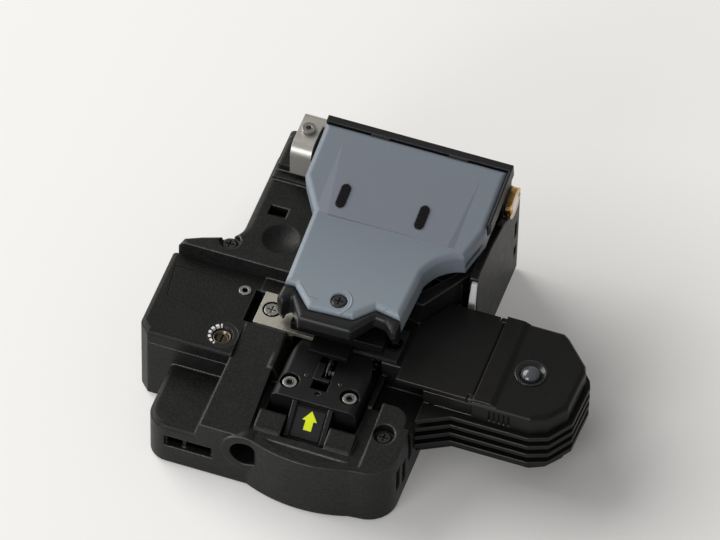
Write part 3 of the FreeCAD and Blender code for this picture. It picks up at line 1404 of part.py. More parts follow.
cap_foot = s.box_rim + skin_gap
cap_blank = prism("cap_blank", "Z", box_outline(band_left, s.cap_flare), cap_foot, s.lid_top, [
    (s.cap_edge, at_top_right(s.lid_top, band_left)),
])
band = prism("cap_band", "Y", [
    (band_left, cap_foot),
    (band_left + 6.6, cap_foot),
    (band_left + 6.6, s.lid_top - 0.1),
    (band_left + 4.8, s.lid_top + 0.7),
    (band_left, s.lid_top + 0.7),
], s.box_front - s.cap_flare + 0.6, s.box_back + s.cap_flare - 0.6)
ear_radius = size(0.8)
hinge_axis = (s.seam_x, s.lid_top - 0.8)
ear_spans = ((s.box_front, s.box_front + 1.5), (s.box_back - 1.5, s.box_back))
ears = []
for index, (low, high) in enumerate(ear_spans):
    ears.append(rod(f"ear_{index}", ear_radius, (hinge_axis[0], low, hinge_axis[1]), high, "Y"))
    ears.append(block(f"ear_web_{index}", (hinge_axis[0], band_left + 1.0), (low, high),
                      (hinge_axis[1] - ear_radius, hinge_axis[1] + ear_radius)))
cap_hollow = prism("cap_hollow", "Z", [
    (band_left + box_wall, s.box_front + box_wall),
    (s.box_right - 8.0, s.box_front + box_wall),
    (s.box_right - box_wall, s.box_front + 7.2),
    (s.box_right - box_wall, s.box_back - 8.6),
    (s.box_right - 8.2, s.box_back - box_wall),
    (band_left + box_wall, s.box_back - box_wall),
], s.box_rim - 1.0, s.lid_top - box_wall)
feed_gate = block("feed_gate", (band_left - 1.0, band_left + box_wall + 1.0),
                  (s.box_front + box_wall, s.box_back - box_wall), (s.box_rim - 1.0, s.lid_top - box_wall))
button_at = (s.button_x, s.button_y)
bezel_radius = s.button_radius + 1.7
guide_radius = s.button_radius + 0.1
GROOVES = 5
groove_pitch = 1.35
grooves = [
    block(f"grip_groove_{i}", (s.seam_x + 5.6 + groove_pitch * i, s.seam_x + 6.1 + groove_pitch * i),
          (s.box_front - 2.0, s.box_front - s.cap_flare + 0.4), (cap_foot + 0.9, s.lid_top - 1.6))
    for i in range(GROOVES)
]
part(cut("cap", join("cap_solid", cap_blank, band, *ears), cap_hollow, feed_gate, *grooves,
         rod("ear_bore", 0.5, (hinge_axis[0], s.box_front - 1.0, hinge_axis[1]), s.box_back + 1.0, "Y"),
         rod("bezel_seat", bezel_radius, (*button_at, s.lid_top - 0.8), s.lid_top + 1.0),
         rod("button_guide", guide_radius, (*button_at, s.lid_top - 3.0), s.lid_top)), "collector_cap")
bezel_blank = rod("bezel_blank", bezel_radius, (*button_at, s.lid_top - 0.8), s.lid_top + 0.3)
part(cut("bezel", bezel_blank,
         rod("bezel_bore", guide_radius, (*button_at, s.lid_top - 1.0), s.lid_top + 1.0),
         cone("bezel_dish", guide_radius, bezel_radius - 0.4, (*button_at, s.lid_top - 0.5),
              s.lid_top + 0.31)),
     "button_ring")
crown = doc.addObject("Part::Common", "button_crown")
crown.Base = ball("button_ball", s.button_radius + 1.2, (*button_at, s.lid_top - 2.6))
crown.Tool = rod("button_limit", s.button_radius, (*button_at, s.lid_top - 1.0), s.lid_top + 3.0)
button_under = s.lid_top - box_wall - 0.1
part(join("button",
          rod("button_stem", s.button_radius, (*button_at, button_under - 1.2), s.lid_top),
          rod("button_flange", s.button_radius + 1.2, (*button_at, button_under - 1.2), button_under),
          crown), "collector_button")

lid_plate = prism("lid_plate", "Z", [
    (s.lid_left, s.box_front),
    (s.seam_x - 0.9, s.box_front),
    (s.seam_x - 0.9, s.box_back),
    (s.front_right - 1.9, s.box_back),
    (s.lid_left, s.deck_back - 1.9),
], s.lid_top - 1.6, s.lid_top)
lid_span = (s.box_front + 1.6, s.box_back - 1.6)
lid_barrel = rod("lid_barrel", ear_radius, (hinge_axis[0], lid_span[0], hinge_axis[1]), lid_span[1], "Y")
lid_web = block("lid_web", (s.seam_x - 1.2, s.seam_x), lid_span, (s.lid_top - 1.6, s.lid_top))
part(cut("lid", join("lid_solid", lid_plate, lid_web, lid_barrel),
         rod("lid_bore", 0.5 + s.run_gap, (hinge_axis[0], s.box_front - 1.0, hinge_axis[1]),
             s.box_back + 1.0, "Y")),
     "collector_lid")
part(rod("hinge_wire", 0.5, (hinge_axis[0], s.box_front, hinge_axis[1]), s.box_back, "Y"), "lid_pin")
part(block("lid_foam", (s.front_right + 2.4, s.front_right + 8.2), (s.box_front + 5.0, s.box_back - 5.0),
           (s.lid_top - 1.9, s.lid_top - 1.6)), "lid_pad")
part(prism("bracket_plate", "Y", [
    (s.rear_right - 2.8, s.low_top + 2.0),
    (s.rear_right - 0.4, s.low_top + 2.0),
    (s.rear_right, side_wall_top - 1.6),
    (s.rear_right - 1.4, side_wall_top - 1.6),
], s.box_back + s.fin_reach + 0.1, s.right_rise), "collector_bracket")


# ---------------------------------------------------------------- check and write

doc.recompute()
for item in doc.Objects:
    if "Invalid" in item.State or "Error" in item.State:
        raise RuntimeError(f"{item.Name} did not build: {item.State}")
for item in PARTS:
    if item.Shape.isNull() or not item.Shape.isValid():
        raise RuntimeError(f"{item.Label} has no valid shape")
    item.Shape.exportStep(f"parts/{item.Label}.step")
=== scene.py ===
import math

import bpy
from mathutils import Matrix, Vector


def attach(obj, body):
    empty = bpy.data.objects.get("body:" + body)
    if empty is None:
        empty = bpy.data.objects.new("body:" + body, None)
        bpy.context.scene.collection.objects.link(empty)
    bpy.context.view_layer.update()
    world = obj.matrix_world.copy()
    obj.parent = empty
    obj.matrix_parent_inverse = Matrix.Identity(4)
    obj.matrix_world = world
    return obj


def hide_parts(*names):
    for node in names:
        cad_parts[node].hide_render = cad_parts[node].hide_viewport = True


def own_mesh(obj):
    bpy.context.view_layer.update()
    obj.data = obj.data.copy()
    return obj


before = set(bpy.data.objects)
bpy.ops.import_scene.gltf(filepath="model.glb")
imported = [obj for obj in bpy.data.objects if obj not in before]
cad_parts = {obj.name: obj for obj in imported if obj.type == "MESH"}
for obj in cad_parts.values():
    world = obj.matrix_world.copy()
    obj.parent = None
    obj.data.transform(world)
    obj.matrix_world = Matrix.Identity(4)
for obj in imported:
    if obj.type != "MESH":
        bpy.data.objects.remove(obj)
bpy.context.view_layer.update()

MM = 0.001

# ---------------------------------------------------------------- camera
# A long lens looks down at the cleaver from its front right corner, so that the deck,
# the lever and the collector all show.
AZIMUTH = math.radians(18.0)
ELEVATION = math.radians(50.5)
ROLL = math.radians(1.5)
DISTANCE = 1.8667
AIM = Vector((-0.87, 17.73, 35.68)) * MM
FOCAL_LENGTH = 350.0
SENSOR_WIDTH = 36.0
NEAREST = 0.1
FARTHEST = 20.0

bpy.ops.object.select_all(action="DESELECT")
bpy.ops.object.camera_add()
camera = bpy.context.object
camera.name = "camera"
camera.data.lens = FOCAL_LENGTH
camera.data.sensor_width = SENSOR_WIDTH
camera.data.clip_start = NEAREST
camera.data.clip_end = FARTHEST
swing = (Matrix.Rotation(AZIMUTH, 4, "Z")
         @ Matrix.Rotation(math.pi / 2 - ELEVATION, 4, "X")
         @ Matrix.Rotation(ROLL, 4, "Z"))
camera.matrix_world = Matrix.Translation(AIM) @ swing @ Matrix.Translation((0, 0, DISTANCE))
bpy.context.scene.camera = camera
bpy.context.scene.view_settings.view_transform = "Standard"

# ---------------------------------------------------------------- studio light
# One large soft box stands behind the left shoulder of the tool and throws its shadow
# to the front right. Two small boxes lift the front and the left walls, in a pale room.
ROOM_COLOUR = (0.93, 0.93, 0.92, 1.0)
ROOM_STRENGTH = 0.36


def soft_box(name, place, aim, size, power, tint):
    """A square area light that faces a point."""
    bpy.ops.object.light_add(type="AREA", location=place)
    lamp = bpy.context.object
    lamp.name = name
    lamp.data.shape = "SQUARE"
    lamp.data.size = size
    lamp.data.energy = power
    lamp.data.color = tint
    lamp.rotation_euler = (Vector(aim) - Vector(place)).to_track_quat("-Z", "Y").to_euler()


soft_box("key_box", place=(-1.2, 0.45, 0.98), aim=(0.0, 0.01, 0.02),
         size=1.25, power=22.0, tint=(1.0, 0.985, 0.96))
soft_box("front_box", place=(-0.5, -1.4, 0.5), aim=(0.0, 0.0, 0.02),
         size=0.8, power=12.0, tint=(0.96, 0.98, 1.0))
soft_box("left_box", place=(-1.4, -0.3, 0.3), aim=(0.0, 0.0, 0.02),
         size=0.7, power=8.0, tint=(1.0, 1.0, 1.0))
room = bpy.data.worlds.new("pale_room")
room.use_nodes = True
room.node_tree.nodes["Background"].inputs["Color"].default_value = ROOM_COLOUR
room.node_tree.nodes["Background"].inputs["Strength"].default_value = ROOM_STRENGTH
bpy.context.scene.world = room

# ---------------------------------------------------------------- floor
# A sheet of smooth white studio paper. It glows a little of itself, except in a soft
# painted shadow at the right of the tool, where the room's light reaches it least.
NOISE_ROUGHNESS = 0.55
EVEN = (1.0, 1.0, 1.0)
BEVEL_SAMPLES = 8
EDGE_TURN = (0.99, 0.86)
EDGE_UPWARD = (0.1, 0.55)


class Wire:
    """One output of a shader node. Arithmetic on it adds Math nodes to its finish."""

    def __init__(self, finish, socket):
        self.finish = finish
        self.socket = socket

    def math(self, operation, first, second=0.0):
        return self.finish.node("ShaderNodeMath", {"operation": operation}, {0: first, 1: second})

    def __add__(self, other):
        return self.math("ADD", self, other)

    def __sub__(self, other):
        return self.math("SUBTRACT", self, other)

    def __rsub__(self, other):
        return self.math("SUBTRACT", other, self)

    def __mul__(self, other):
        return self.math("MULTIPLY", self, other)

    def __abs__(self):
        return self.math("ABSOLUTE", self)

    def root(self):
        return self.math("SQRT", self)

    def low(self, other):
        return self.math("MINIMUM", self, other)

    def high(self, other):
        return self.math("MAXIMUM", self, other)


class Finish:
    """A material built round one Principled shader."""

    def __init__(self, name, colour, rough, metal=0.0, sheen=0.5):
        self.made = bpy.data.materials.new(name)
        self.made.use_nodes = True
        self.nodes = self.made.node_tree.nodes
        self.shader = self.nodes["Principled BSDF"]
        self.shader.inputs["Base Color"].default_value = (*colour, 1.0)
        self.shader.inputs["Roughness"].default_value = rough
        self.shader.inputs["Metallic"].default_value = metal
        self.shader.inputs["Specular IOR Level"].default_value = sheen

    def node(self, kind, settings, sockets, out=0):
        """Add a node, set it, wire its sockets, and return one of its outputs."""
        made = self.nodes.new(kind)
        for key, setting in settings.items():
            setattr(made, key, setting)
        for key, value in sockets.items():
            if isinstance(value, Wire):
                self.made.node_tree.links.new(value.socket, made.inputs[key])
            else:
                made.inputs[key].default_value = value
        return Wire(self, made.outputs[out])

    def feed(self, socket, wire):
        self.made.node_tree.links.new(wire.socket, self.shader.inputs[socket])

    def place(self):
        """Object coordinates in metres."""
        return self.node("ShaderNodeTexCoord", {}, {}, "Object")

    def axes(self):
        """The three object coordinates, in millimetres."""
        grown = self.node("ShaderNodeVectorMath", {"operation": "SCALE"}, {0: self.place(), "Scale": 1 / MM})
        split = self.node("ShaderNodeSeparateXYZ", {}, {0: grown}).socket.node
        return [Wire(self, output) for output in split.outputs]

    def noise(self, size_mm, detail=2.0, stretch=EVEN):
        """Noise between 0 and 1 whose features are about size_mm wide."""
        spread = self.node("ShaderNodeMapping", {}, {0: self.place(), "Scale": stretch})
        return self.node("ShaderNodeTexNoise", {}, {
            "Vector": spread, "Scale": 1 / (size_mm * MM), "Detail": detail, "Roughness": NOISE_ROUGHNESS})

    def ramp(self, wire, start, end):
        """0 at start and before it, 1 at end and beyond it, whichever of them is larger."""
        return self.node("ShaderNodeMapRange", {"clamp": True}, {
            "Value": wire, "From Min": start, "From Max": end})

    def over(self, mask, first, second):
        """A colour, or a colour link, with a second colour laid over it where the mask is 1."""
        under = first if isinstance(first, Wire) else (*first, 1.0)
        return self.node("ShaderNodeMix", {"data_type": "RGBA"}, {0: mask, 6: under, 7: (*second, 1.0)}, 2)

    def rounded(self, edge_mm):
        """The surface's normal, as if its hard edges were rounded over."""
        return self.node("ShaderNodeBevel", {"samples": BEVEL_SAMPLES}, {"Radius": edge_mm * MM})

    def relief(self, height, depth_mm, edge_mm=0.0):
        """Bump from a height in depth_mm steps, over edges that are softened by edge_mm."""
        sockets = {"Height": height, "Strength": 1.0, "Distance": depth_mm * MM}
        if edge_mm:
            sockets["Normal"] = self.rounded(edge_mm)
        self.feed("Normal", self.node("ShaderNodeBump", {}, sockets))

    def edge_mask(self, reach_mm):
        """1 on the hard edges that face up, where hands wear the piece and a highlight is painted, and 0 on
        its faces.
        """
        soft = self.rounded(reach_mm)
        hard = self.node("ShaderNodeNewGeometry", {}, {}, "Normal")
        same = self.node("ShaderNodeVectorMath", {"operation": "DOT_PRODUCT"}, {0: soft, 1: hard}, "Value")
        upward = self.node("ShaderNodeSeparateXYZ", {}, {0: soft}, 2)
        return self.ramp(same, *EDGE_TURN) * self.ramp(upward, *EDGE_UPWARD)


FLOOR_SIZE = 6.0
SHADOW_MIDDLE = (66.0, 6.0)
SHADOW_CORE = 8.0
SHADOW_REACH = 92.0
SHADOW_ROUNDNESS = 0.7
SHADOW_SHARE = 0.52
FIBRE_MM = 1.2
FIBRE_SHARE = 0.04
FIBRE_DEPTH = 0.01
PAPER_PALE = (0.9, 0.885, 0.87)
PAPER_SHADOW = (0.52, 0.502, 0.49)
PAPER_GLOW = (0.872, 0.863, 0.848, 1.0)
GLOW_SHARE = 0.35

paper = Finish("studio_paper", PAPER_PALE, rough=0.9)
east, north, _ = paper.axes()
aside = abs(east - SHADOW_MIDDLE[0])
ahead = abs(north - SHADOW_MIDDLE[1])
# A soft shadow is painted on the paper at the right of the tool, and its glow is held back there.
painted_shadow = paper.ramp((aside * aside + ahead * ahead * SHADOW_ROUNDNESS).root(), SHADOW_REACH, SHADOW_CORE)
fibre = paper.noise(FIBRE_MM, 3.0)
paper.feed("Base Color", paper.over(painted_shadow * SHADOW_SHARE + fibre * FIBRE_SHARE, PAPER_PALE, PAPER_SHADOW))
paper.relief(fibre, FIBRE_DEPTH)
glow = paper.node("ShaderNodeEmission", {}, {"Color": PAPER_GLOW, "Strength": 1.0})
seen = paper.node("ShaderNodeLightPath", {}, {}, "Is Camera Ray")
for ray in ("Is Glossy Ray", "Is Transmission Ray"):
    seen = seen + paper.node("ShaderNodeLightPath", {}, {}, ray)
glowing = seen.low(1.0) * (1.0 - painted_shadow) * GLOW_SHARE
plain = Wire(paper, paper.shader.outputs[0])
mixed = paper.node("ShaderNodeMixShader", {}, {0: glowing, 1: plain, 2: glow})
paper.made.node_tree.links.new(mixed.socket, paper.nodes["Material Output"].inputs["Surface"])
bpy.ops.object.select_all(action="DESELECT")
bpy.ops.mesh.primitive_plane_add(size=FLOOR_SIZE, location=(0.0, 0.0, 0.0))
floor = bpy.context.object
floor.name = "studio_floor"
floor.data.materials.append(paper.made)

# ---------------------------------------------------------------- housing
# Black glass-filled nylon moulding with a fine spark-eroded grain, and the cover that
# closes it from below. Its corners are softened by the tool, and its upward edges are
# lightened by wear from hands and by a painted highlight.
CLOUD_MM = 9.0
SPECKLE = (0.35, 0.7)
SPECKLE_SHARE = 0.55
WEAR_AND_HIGHLIGHT_SHARE = 0.6
GLOSS_MM = 3.0
GLOSS_SPREAD = 0.16
EDGE_POLISH = 0.14
WAVE_MM = 14.0
WAVE_SHARE = 0.4


def dress(finish, *nodes):
    """Give a finish to carried-over pieces."""
    for node in nodes:
        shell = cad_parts[node].data
        shell.materials.clear()
        shell.materials.append(finish.made)


def scaled(colour, share):
    """A colour made lighter or darker."""
    return tuple(min(part * share, 1.0) for part in colour)


def moulded(name, colour, rough, grain_mm, grain_depth, edge_mm, wear_and_highlight=2.5, sheen=0.2, cloudy=0.3, shine=0.0):
    """Moulded plastic: spark-eroded grain, cloudy colour, and edges that catch the light, the upward ones
    lightened by wear and a painted highlight.
    """
    made = Finish(name, colour, rough, sheen=sheen)
    grain = made.noise(grain_mm, 2.0)
    cloud = made.noise(CLOUD_MM, 3.0)
    edge = made.edge_mask(edge_mm)
    speckle = made.ramp(grain, *SPECKLE)
    mottle = cloud * (1 - SPECKLE_SHARE) + speckle * SPECKLE_SHARE
    made.tone = made.over(mottle, scaled(colour, 1 - cloudy), scaled(colour, 1 + cloudy))
    # Upward edges are lightened, partly as wear and partly as a painted highlight.
    made.tone = made.over(edge * WEAR_AND_HIGHLIGHT_SHARE, made.tone, scaled(colour, wear_and_highlight))
    made.feed("Base Color", made.tone)
    if shine:
        made.feed("Metallic", edge * shine)
    dullness = made.noise(GLOSS_MM) * GLOSS_SPREAD + (rough - GLOSS_SPREAD / 2)
    made.feed("Roughness", dullness - edge * EDGE_POLISH)
    made.height = grain * grain_depth + made.noise(WAVE_MM) * (grain_depth * WAVE_SHARE)
    made.relief(made.height, 1.0, edge_mm)
    return made


housing_black = moulded("housing_black", (0.0095, 0.0095, 0.009), rough=0.44, grain_mm=0.6, grain_depth=0.06,
                        edge_mm=0.9, wear_and_highlight=11.0, sheen=0.18, cloudy=0.85, shine=0.7)
dress(housing_black, "base_housing", "bottom_cover")

# ---------------------------------------------------------------- feet
# Four discs of matt black rubber, moulded with a fine grain and glued into the recesses
# under the cover, so that the tool doesn't slide on the bench.
foot_rubber = moulded("foot_rubber", (0.012, 0.012, 0.012), rough=0.85, grain_mm=0.35, grain_depth=0.04,
                      edge_mm=0.2, wear_and_highlight=1.2)
dress(foot_rubber, "rubber_feet")

# ---------------------------------------------------------------- holder deck
# The same black nylon, moulded as a flat plate that is dropped into the left of the
# housing. A shallow groove on it shows where the fibre holder goes.
DECK_TOP = 26.9
GROOVE_WIDTH = 0.35
GROOVE_CORNERS = ((-48.7, -1.0), (-50.1, 9.5), (-45.0, 9.5))
FAINT_LINES = (((-48.7, -1.0), (-38.0, -3.6)), ((-45.0, 9.5), (-34.6, 9.4)))
FAINT_WIDTH = 0.3
FAINT_SHARE = 0.35
GROOVE_SHADE = (0.003, 0.003, 0.003)
GROOVE_DEPTH = 0.2
LINE_BLUR = 0.06


def line_mask(finish, plan, start, end, wide):
    """1 on a straight line between two points of the plan view, in millimetres."""
    run = (end[0] - start[0], end[1] - start[1])
    long = math.hypot(*run)
    along = (plan[0] - start[0]) * (run[0] / long) + (plan[1] - start[1]) * (run[1] / long)
    aside = abs((plan[0] - start[0]) * (run[1] / long) - (plan[1] - start[1]) * (run[0] / long))
    beyond = abs(along - long / 2) - long / 2
    return finish.ramp(aside.high(beyond), wide * 0.5 + LINE_BLUR, wide * 0.5 - LINE_BLUR)


deck_black = moulded("deck_black", (0.009, 0.009, 0.0085), rough=0.44, grain_mm=0.6, grain_depth=0.06,
                     edge_mm=0.7, wear_and_highlight=8.0, sheen=0.16, cloudy=0.85, shine=0.5)
plan = deck_black.axes()
front_corner, rear_corner, inner_corner = GROOVE_CORNERS
groove = line_mask(deck_black, plan, rear_corner, front_corner, GROOVE_WIDTH)
groove = groove.high(line_mask(deck_black, plan, rear_corner, inner_corner, GROOVE_WIDTH))
for start, end in FAINT_LINES:
    groove = groove.high(line_mask(deck_black, plan, start, end, FAINT_WIDTH) * FAINT_SHARE)
groove = groove * deck_black.ramp(plan[2], DECK_TOP - 0.1, DECK_TOP)
# Painted shade darkens the groove and the faint lines beside it.
deck_black.feed("Base Color", deck_black.over(groove * 0.8, deck_black.tone, GROOVE_SHADE))
deck_black.relief(deck_black.height - groove * GROOVE_DEPTH, 1.0, 0.3)
dress(deck_black, "holder_deck")

# ---------------------------------------------------------------- hinge saddle and clamp carriers
# Satin steel, bent or milled, with fine lines along the cut and light smears of oil. The
# bushes are pressed into the lever's knuckles, and the anvil into its nose.
OIL_MM = 4.0
OIL_SPREAD = 0.1
CUT_SPREAD = 0.14


def machined(name, colour, rough, lines, line_mm, depth=0.004, edge_mm=0.12, metal=1.0):
    """Machined metal: fine lines one way, with light smears of oil."""
    made = Finish(name, colour, rough, metal)
    cut = made.noise(line_mm, 3.0, lines)
    smear = made.noise(OIL_MM, 2.0)
    made.tone = made.over(cut * 0.5 + smear * 0.5, scaled(colour, 0.8), scaled(colour, 1.15))
    made.feed("Base Color", made.tone)
    sharpest = rough - (CUT_SPREAD + OIL_SPREAD) / 2
    made.feed("Roughness", cut * CUT_SPREAD + smear * OIL_SPREAD + sharpest)
    made.relief(cut, depth, edge_mm)
    return made


satin_steel = machined("satin_steel", (0.44, 0.42, 0.385), rough=0.36, lines=(0.08, 1.0, 1.0), line_mm=0.3,
                       depth=0.012, metal=0.6)
dress(satin_steel, "hinge_saddle", "anvil", "left_clamp_carrier", "right_clamp_carrier", "hinge_bushes")

# ---------------------------------------------------------------- collector bracket
# A bent steel sheet with a light powder coat. It stands between the housing and the
# collector and ties the two together.
bright_sheet = moulded("bright_sheet", (0.74, 0.735, 0.72), rough=0.4, grain_mm=0.3, grain_depth=0.004,
                       edge_mm=0.2, wear_and_highlight=1.1, sheen=0.5, cloudy=0.08)
dress(bright_sheet, "collector_bracket")

# ---------------------------------------------------------------- left clamp plate
# Ground steel, a little warm, screwed flat into the housing. The recess round its screw
# is darkened with painted shade.
PLATE_SCREW = (-20.5, 3.2)
RECESS_EDGE = (7.6, 6.6)
RECESS_SHADE = (0.012, 0.011, 0.01)


def from_point(plan, point):
    """The square of the distance in plan view from a point, in square millimetres."""
    east = plan[0] - point[0]
    north = plan[1] - point[1]
    return east * east + north * north


ground_plate = machined("ground_plate", (0.44, 0.42, 0.36), rough=0.46, lines=(1.0, 0.1, 1.0), line_mm=0.35,
                        depth=0.006)
# Painted shade in the recess round the plate's screw.
recess_shade = ground_plate.ramp(from_point(ground_plate.axes(), PLATE_SCREW), *RECESS_EDGE)
ground_plate.feed("Base Color", ground_plate.over(recess_shade, ground_plate.tone, RECESS_SHADE))
dress(ground_plate, "left_clamp_plate")

# ---------------------------------------------------------------- blackened screws and right clamp plate
# Steel with a thin black oxide skin, worn to grey on the upward edges, which also carry a
# painted highlight. The right clamp plate and the lid's pin are given the same finish.
BLACK_OXIDE_AND_SHADE = (0.02, 0.02, 0.021)

blackened = moulded("blackened_screw", BLACK_OXIDE_AND_SHADE, rough=0.36, grain_mm=0.12, grain_depth=0.008, edge_mm=0.12,
                    wear_and_highlight=3.0, sheen=0.35)
dress(blackened, "housing_screws", "cover_screws", "lever_screw", "right_clamp_plate", "lid_pin")

# ---------------------------------------------------------------- bright screws
# Turned steel, with fine rings round each head. Painted shade darkens the sockets of the
# carriage's cap screws. Of the two plate screws, the right one is coloured black as painted shade.
SCREW_COLOUR = (0.34, 0.33, 0.31)
TURNED = (1.0, 1.0, 0.2)
CAP_SCREW = (8.4, -16.8)
SOCKET_EDGE = (1.75, 1.2)
SOCKET_SHADE = (0.07, 0.055, 0.04)

screw_steel = machined("screw_steel", SCREW_COLOUR, rough=0.3, lines=TURNED, line_mm=0.4, edge_mm=0.2)
dress(screw_steel, "collector_screws", "height_screw", "saddle_screw", "locating_bush")

socket_screw = machined("socket_screw", (0.42, 0.41, 0.39), rough=0.3, lines=TURNED, line_mm=0.4, edge_mm=0.2)
east, north, _ = socket_screw.axes()
# Painted shade in the sockets of the cap screws.
inside = socket_screw.ramp(from_point((abs(east), north), CAP_SCREW), *SOCKET_EDGE)
socket_screw.feed("Base Color", socket_screw.over(inside * 0.8, socket_screw.tone, SOCKET_SHADE))
dress(socket_screw, "carriage_screws")

plate_screw = machined("plate_screw", SCREW_COLOUR, rough=0.3, lines=TURNED, line_mm=0.4, edge_mm=0.2)
# The right plate screw is given the black colour as painted shade.
right_side = plate_screw.ramp(plate_screw.axes()[0], -1.0, 1.0)
plate_screw.feed("Base Color", plate_screw.over(right_side, plate_screw.tone, BLACK_OXIDE_AND_SHADE))
dress(plate_screw, "clamp_plate_screws")

# ---------------------------------------------------------------- rods, shaft and springs
# Hardened steel rods, ground and polished along their length, for the carriage and the
# hinge. The springs are wound from bright steel wire.
polished = machined("polished_rod", (0.6, 0.6, 0.6), rough=0.16, lines=(0.2, 1.0, 1.0), line_mm=0.4,
                    depth=0.002)
dress(polished, "guide_rods", "hinge_shaft", "blade_axle")
spring_steel = machined("spring_steel", (0.4, 0.4, 0.4), rough=0.3, lines=EVEN, line_mm=0.2)
dress(spring_steel, "return_spring", "lever_spring")

# ---------------------------------------------------------------- lever cover
# A satin blue-grey painted moulding, clipped on to the lever's frame. A shallow panel
# rises behind the neck, with a folded facet along each side.
PANEL_LEFT = -16.4
PANEL_RIGHT = 22.6
PANEL_FRONT = 25.5
PANEL_REAR = 48.3
FOLD = ((-12.7, 25.5), (12.3, 25.8))
FOLD_WIDTH = 0.16
CHEVRONS = (((-13.9, 3.2), (-12.4, 3.7)), ((-12.4, 3.7), (-9.3, 0.6)), ((-9.3, 0.6), (-6.4, 0.3)),
            ((8.4, 1.4), (11.9, 3.1)))
CHEVRON_WIDTH = 0.3
LEVER_SCREW = (-1.2, 1.6)
COLLAR_RADIUS = 3.406
COLLAR_EDGE = (2.6, 0.6)
NECK_REAR = 26.0
NECK_FRONT = 4.0
NECK_HIGHLIGHT = (0.2, 0.232, 0.262)
PANEL_PAINT = (0.158, 0.17, 0.205)
FOLD_SHADE = (0.07, 0.08, 0.095)
FOLD_DEPTH = 0.12
COLLAR_RISE = 0.12

lever_paint = moulded("lever_paint", (0.152, 0.177, 0.208), rough=0.42, grain_mm=0.5, grain_depth=0.004,
                      edge_mm=0.5, wear_and_highlight=1.35, sheen=0.3, cloudy=0.05)
flat = lever_paint.axes()
left_slope = (flat[0] - PANEL_LEFT) * 0.08
right_slope = (PANEL_RIGHT - flat[0]) * 0.15
rear_slope = (PANEL_REAR - flat[1]) * 0.012
panel = left_slope.low(right_slope).low(rear_slope).high(0.0)
panel = panel * lever_paint.ramp(flat[1], PANEL_FRONT, PANEL_FRONT + 0.25)
raised = lever_paint.ramp(panel, 0.0, 0.06)
fold = line_mask(lever_paint, flat, *FOLD, FOLD_WIDTH)
for start, end in CHEVRONS:
    fold = fold.high(line_mask(lever_paint, flat, start, end, CHEVRON_WIDTH) * 0.6)
off_collar = abs(from_point(flat, LEVER_SCREW) - COLLAR_RADIUS ** 2)
collar = lever_paint.ramp(off_collar, *COLLAR_EDGE)
collar = collar * lever_paint.ramp(flat[0], LEVER_SCREW[0], LEVER_SCREW[0] + 1.6)
# A painted highlight lightens the cover towards the front of its neck.
neck = lever_paint.ramp(flat[1], NECK_REAR, NECK_FRONT)
shade = lever_paint.over(neck * 0.9, lever_paint.tone, NECK_HIGHLIGHT)
shade = lever_paint.over(raised * 0.7, shade, PANEL_PAINT)
# Painted shade darkens the fold line and the chevrons.
lever_paint.feed("Base Color", lever_paint.over(fold * 0.45, shade, FOLD_SHADE))
lever_paint.relief(lever_paint.height + panel - fold * FOLD_DEPTH + collar * COLLAR_RISE, 1.0, 0.5)
dress(lever_paint, "lever_cover")

# ---------------------------------------------------------------- lever frame
# Black die-cast frame under the cover, with the nose that releases the carriage. Its
# lower parts are darkened with painted shade.
FRAME_SHOWN = 38.5
FRAME_HIDDEN = 36.0
FRAME_SHADE = (0.0025, 0.0025, 0.0025)

cast_black = moulded("cast_black", (0.009, 0.009, 0.0095), rough=0.42, grain_mm=0.3, grain_depth=0.02,
                     edge_mm=0.5, wear_and_highlight=8.0, sheen=0.2, cloudy=0.3, shine=0.6)
# Painted shade on the lower parts of the frame.
low_down = cast_black.ramp(cast_black.axes()[2], FRAME_SHOWN, FRAME_HIDDEN)
cast_black.feed("Base Color", cast_black.over(low_down, cast_black.tone, FRAME_SHADE))
dress(cast_black, "lever_frame", "release_nose")

# ---------------------------------------------------------------- slot inserts
# Two glossy black bars, pushed into the cover's slots, with small ribs across them.
RIBS_PER_MM = 4.2
RIB_DEPTH = 0.12

slot_black = moulded("slot_black", (0.004, 0.004, 0.005), rough=0.24, grain_mm=0.3, grain_depth=0.004,
                     edge_mm=0.3, wear_and_highlight=5.0, sheen=0.16)
wave = slot_black.axes()[1] * RIBS_PER_MM
slot_black.relief(abs(wave.math("SINE", wave)), RIB_DEPTH, 0.3)
dress(slot_black, "slot_inserts")

# ---------------------------------------------------------------- lever grip
# Charcoal soft plastic over the front of the lever. Its front leans out to a rim that
# catches the light, and its left wing hangs lower than the rest.
GRIP_TOP = 39.5
GRIP_FALL = 0.166
GRIP_RIM = 3.6
LEAN_OUT = 0.28
LEAN_BACK = 0.5
MOST_BACK = 0.2
WING_START = -9.6
WING_FADE = 1.2
WING_ROOT = 3.0
WING_DROP = 2.4
WELD = 0.002
FLAT = math.radians(1.0)
ROUND = math.radians(40.0)
GRIP_VOXEL = 0.25


def stand_in(node, body, slot, *finishing):
    """A merged copy of a carried-over piece, reshaped by modifiers, which stands for it."""
    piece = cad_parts[node].copy()
    piece.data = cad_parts[node].data.copy()
    piece.name = node + "_finished"
    bpy.context.scene.collection.objects.link(piece)
    bpy.ops.object.select_all(action="DESELECT")
    piece.select_set(True)
    bpy.context.view_layer.objects.active = piece
    bpy.ops.object.mode_set(mode="EDIT")
    bpy.ops.mesh.select_all(action="SELECT")
    bpy.ops.mesh.remove_doubles(threshold=WELD * MM)
    bpy.ops.mesh.dissolve_limited(angle_limit=FLAT)
    bpy.ops.object.mode_set(mode="OBJECT")
    for kind, settings in finishing:
        step = piece.modifiers.new(kind.lower(), kind)
        for key, setting in settings.items():
            setattr(step, key, setting)
        bpy.ops.object.modifier_apply(modifier=step.name)
    bpy.ops.object.shade_smooth_by_angle(angle=ROUND)
    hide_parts(node)
    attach(piece, body)
    return piece


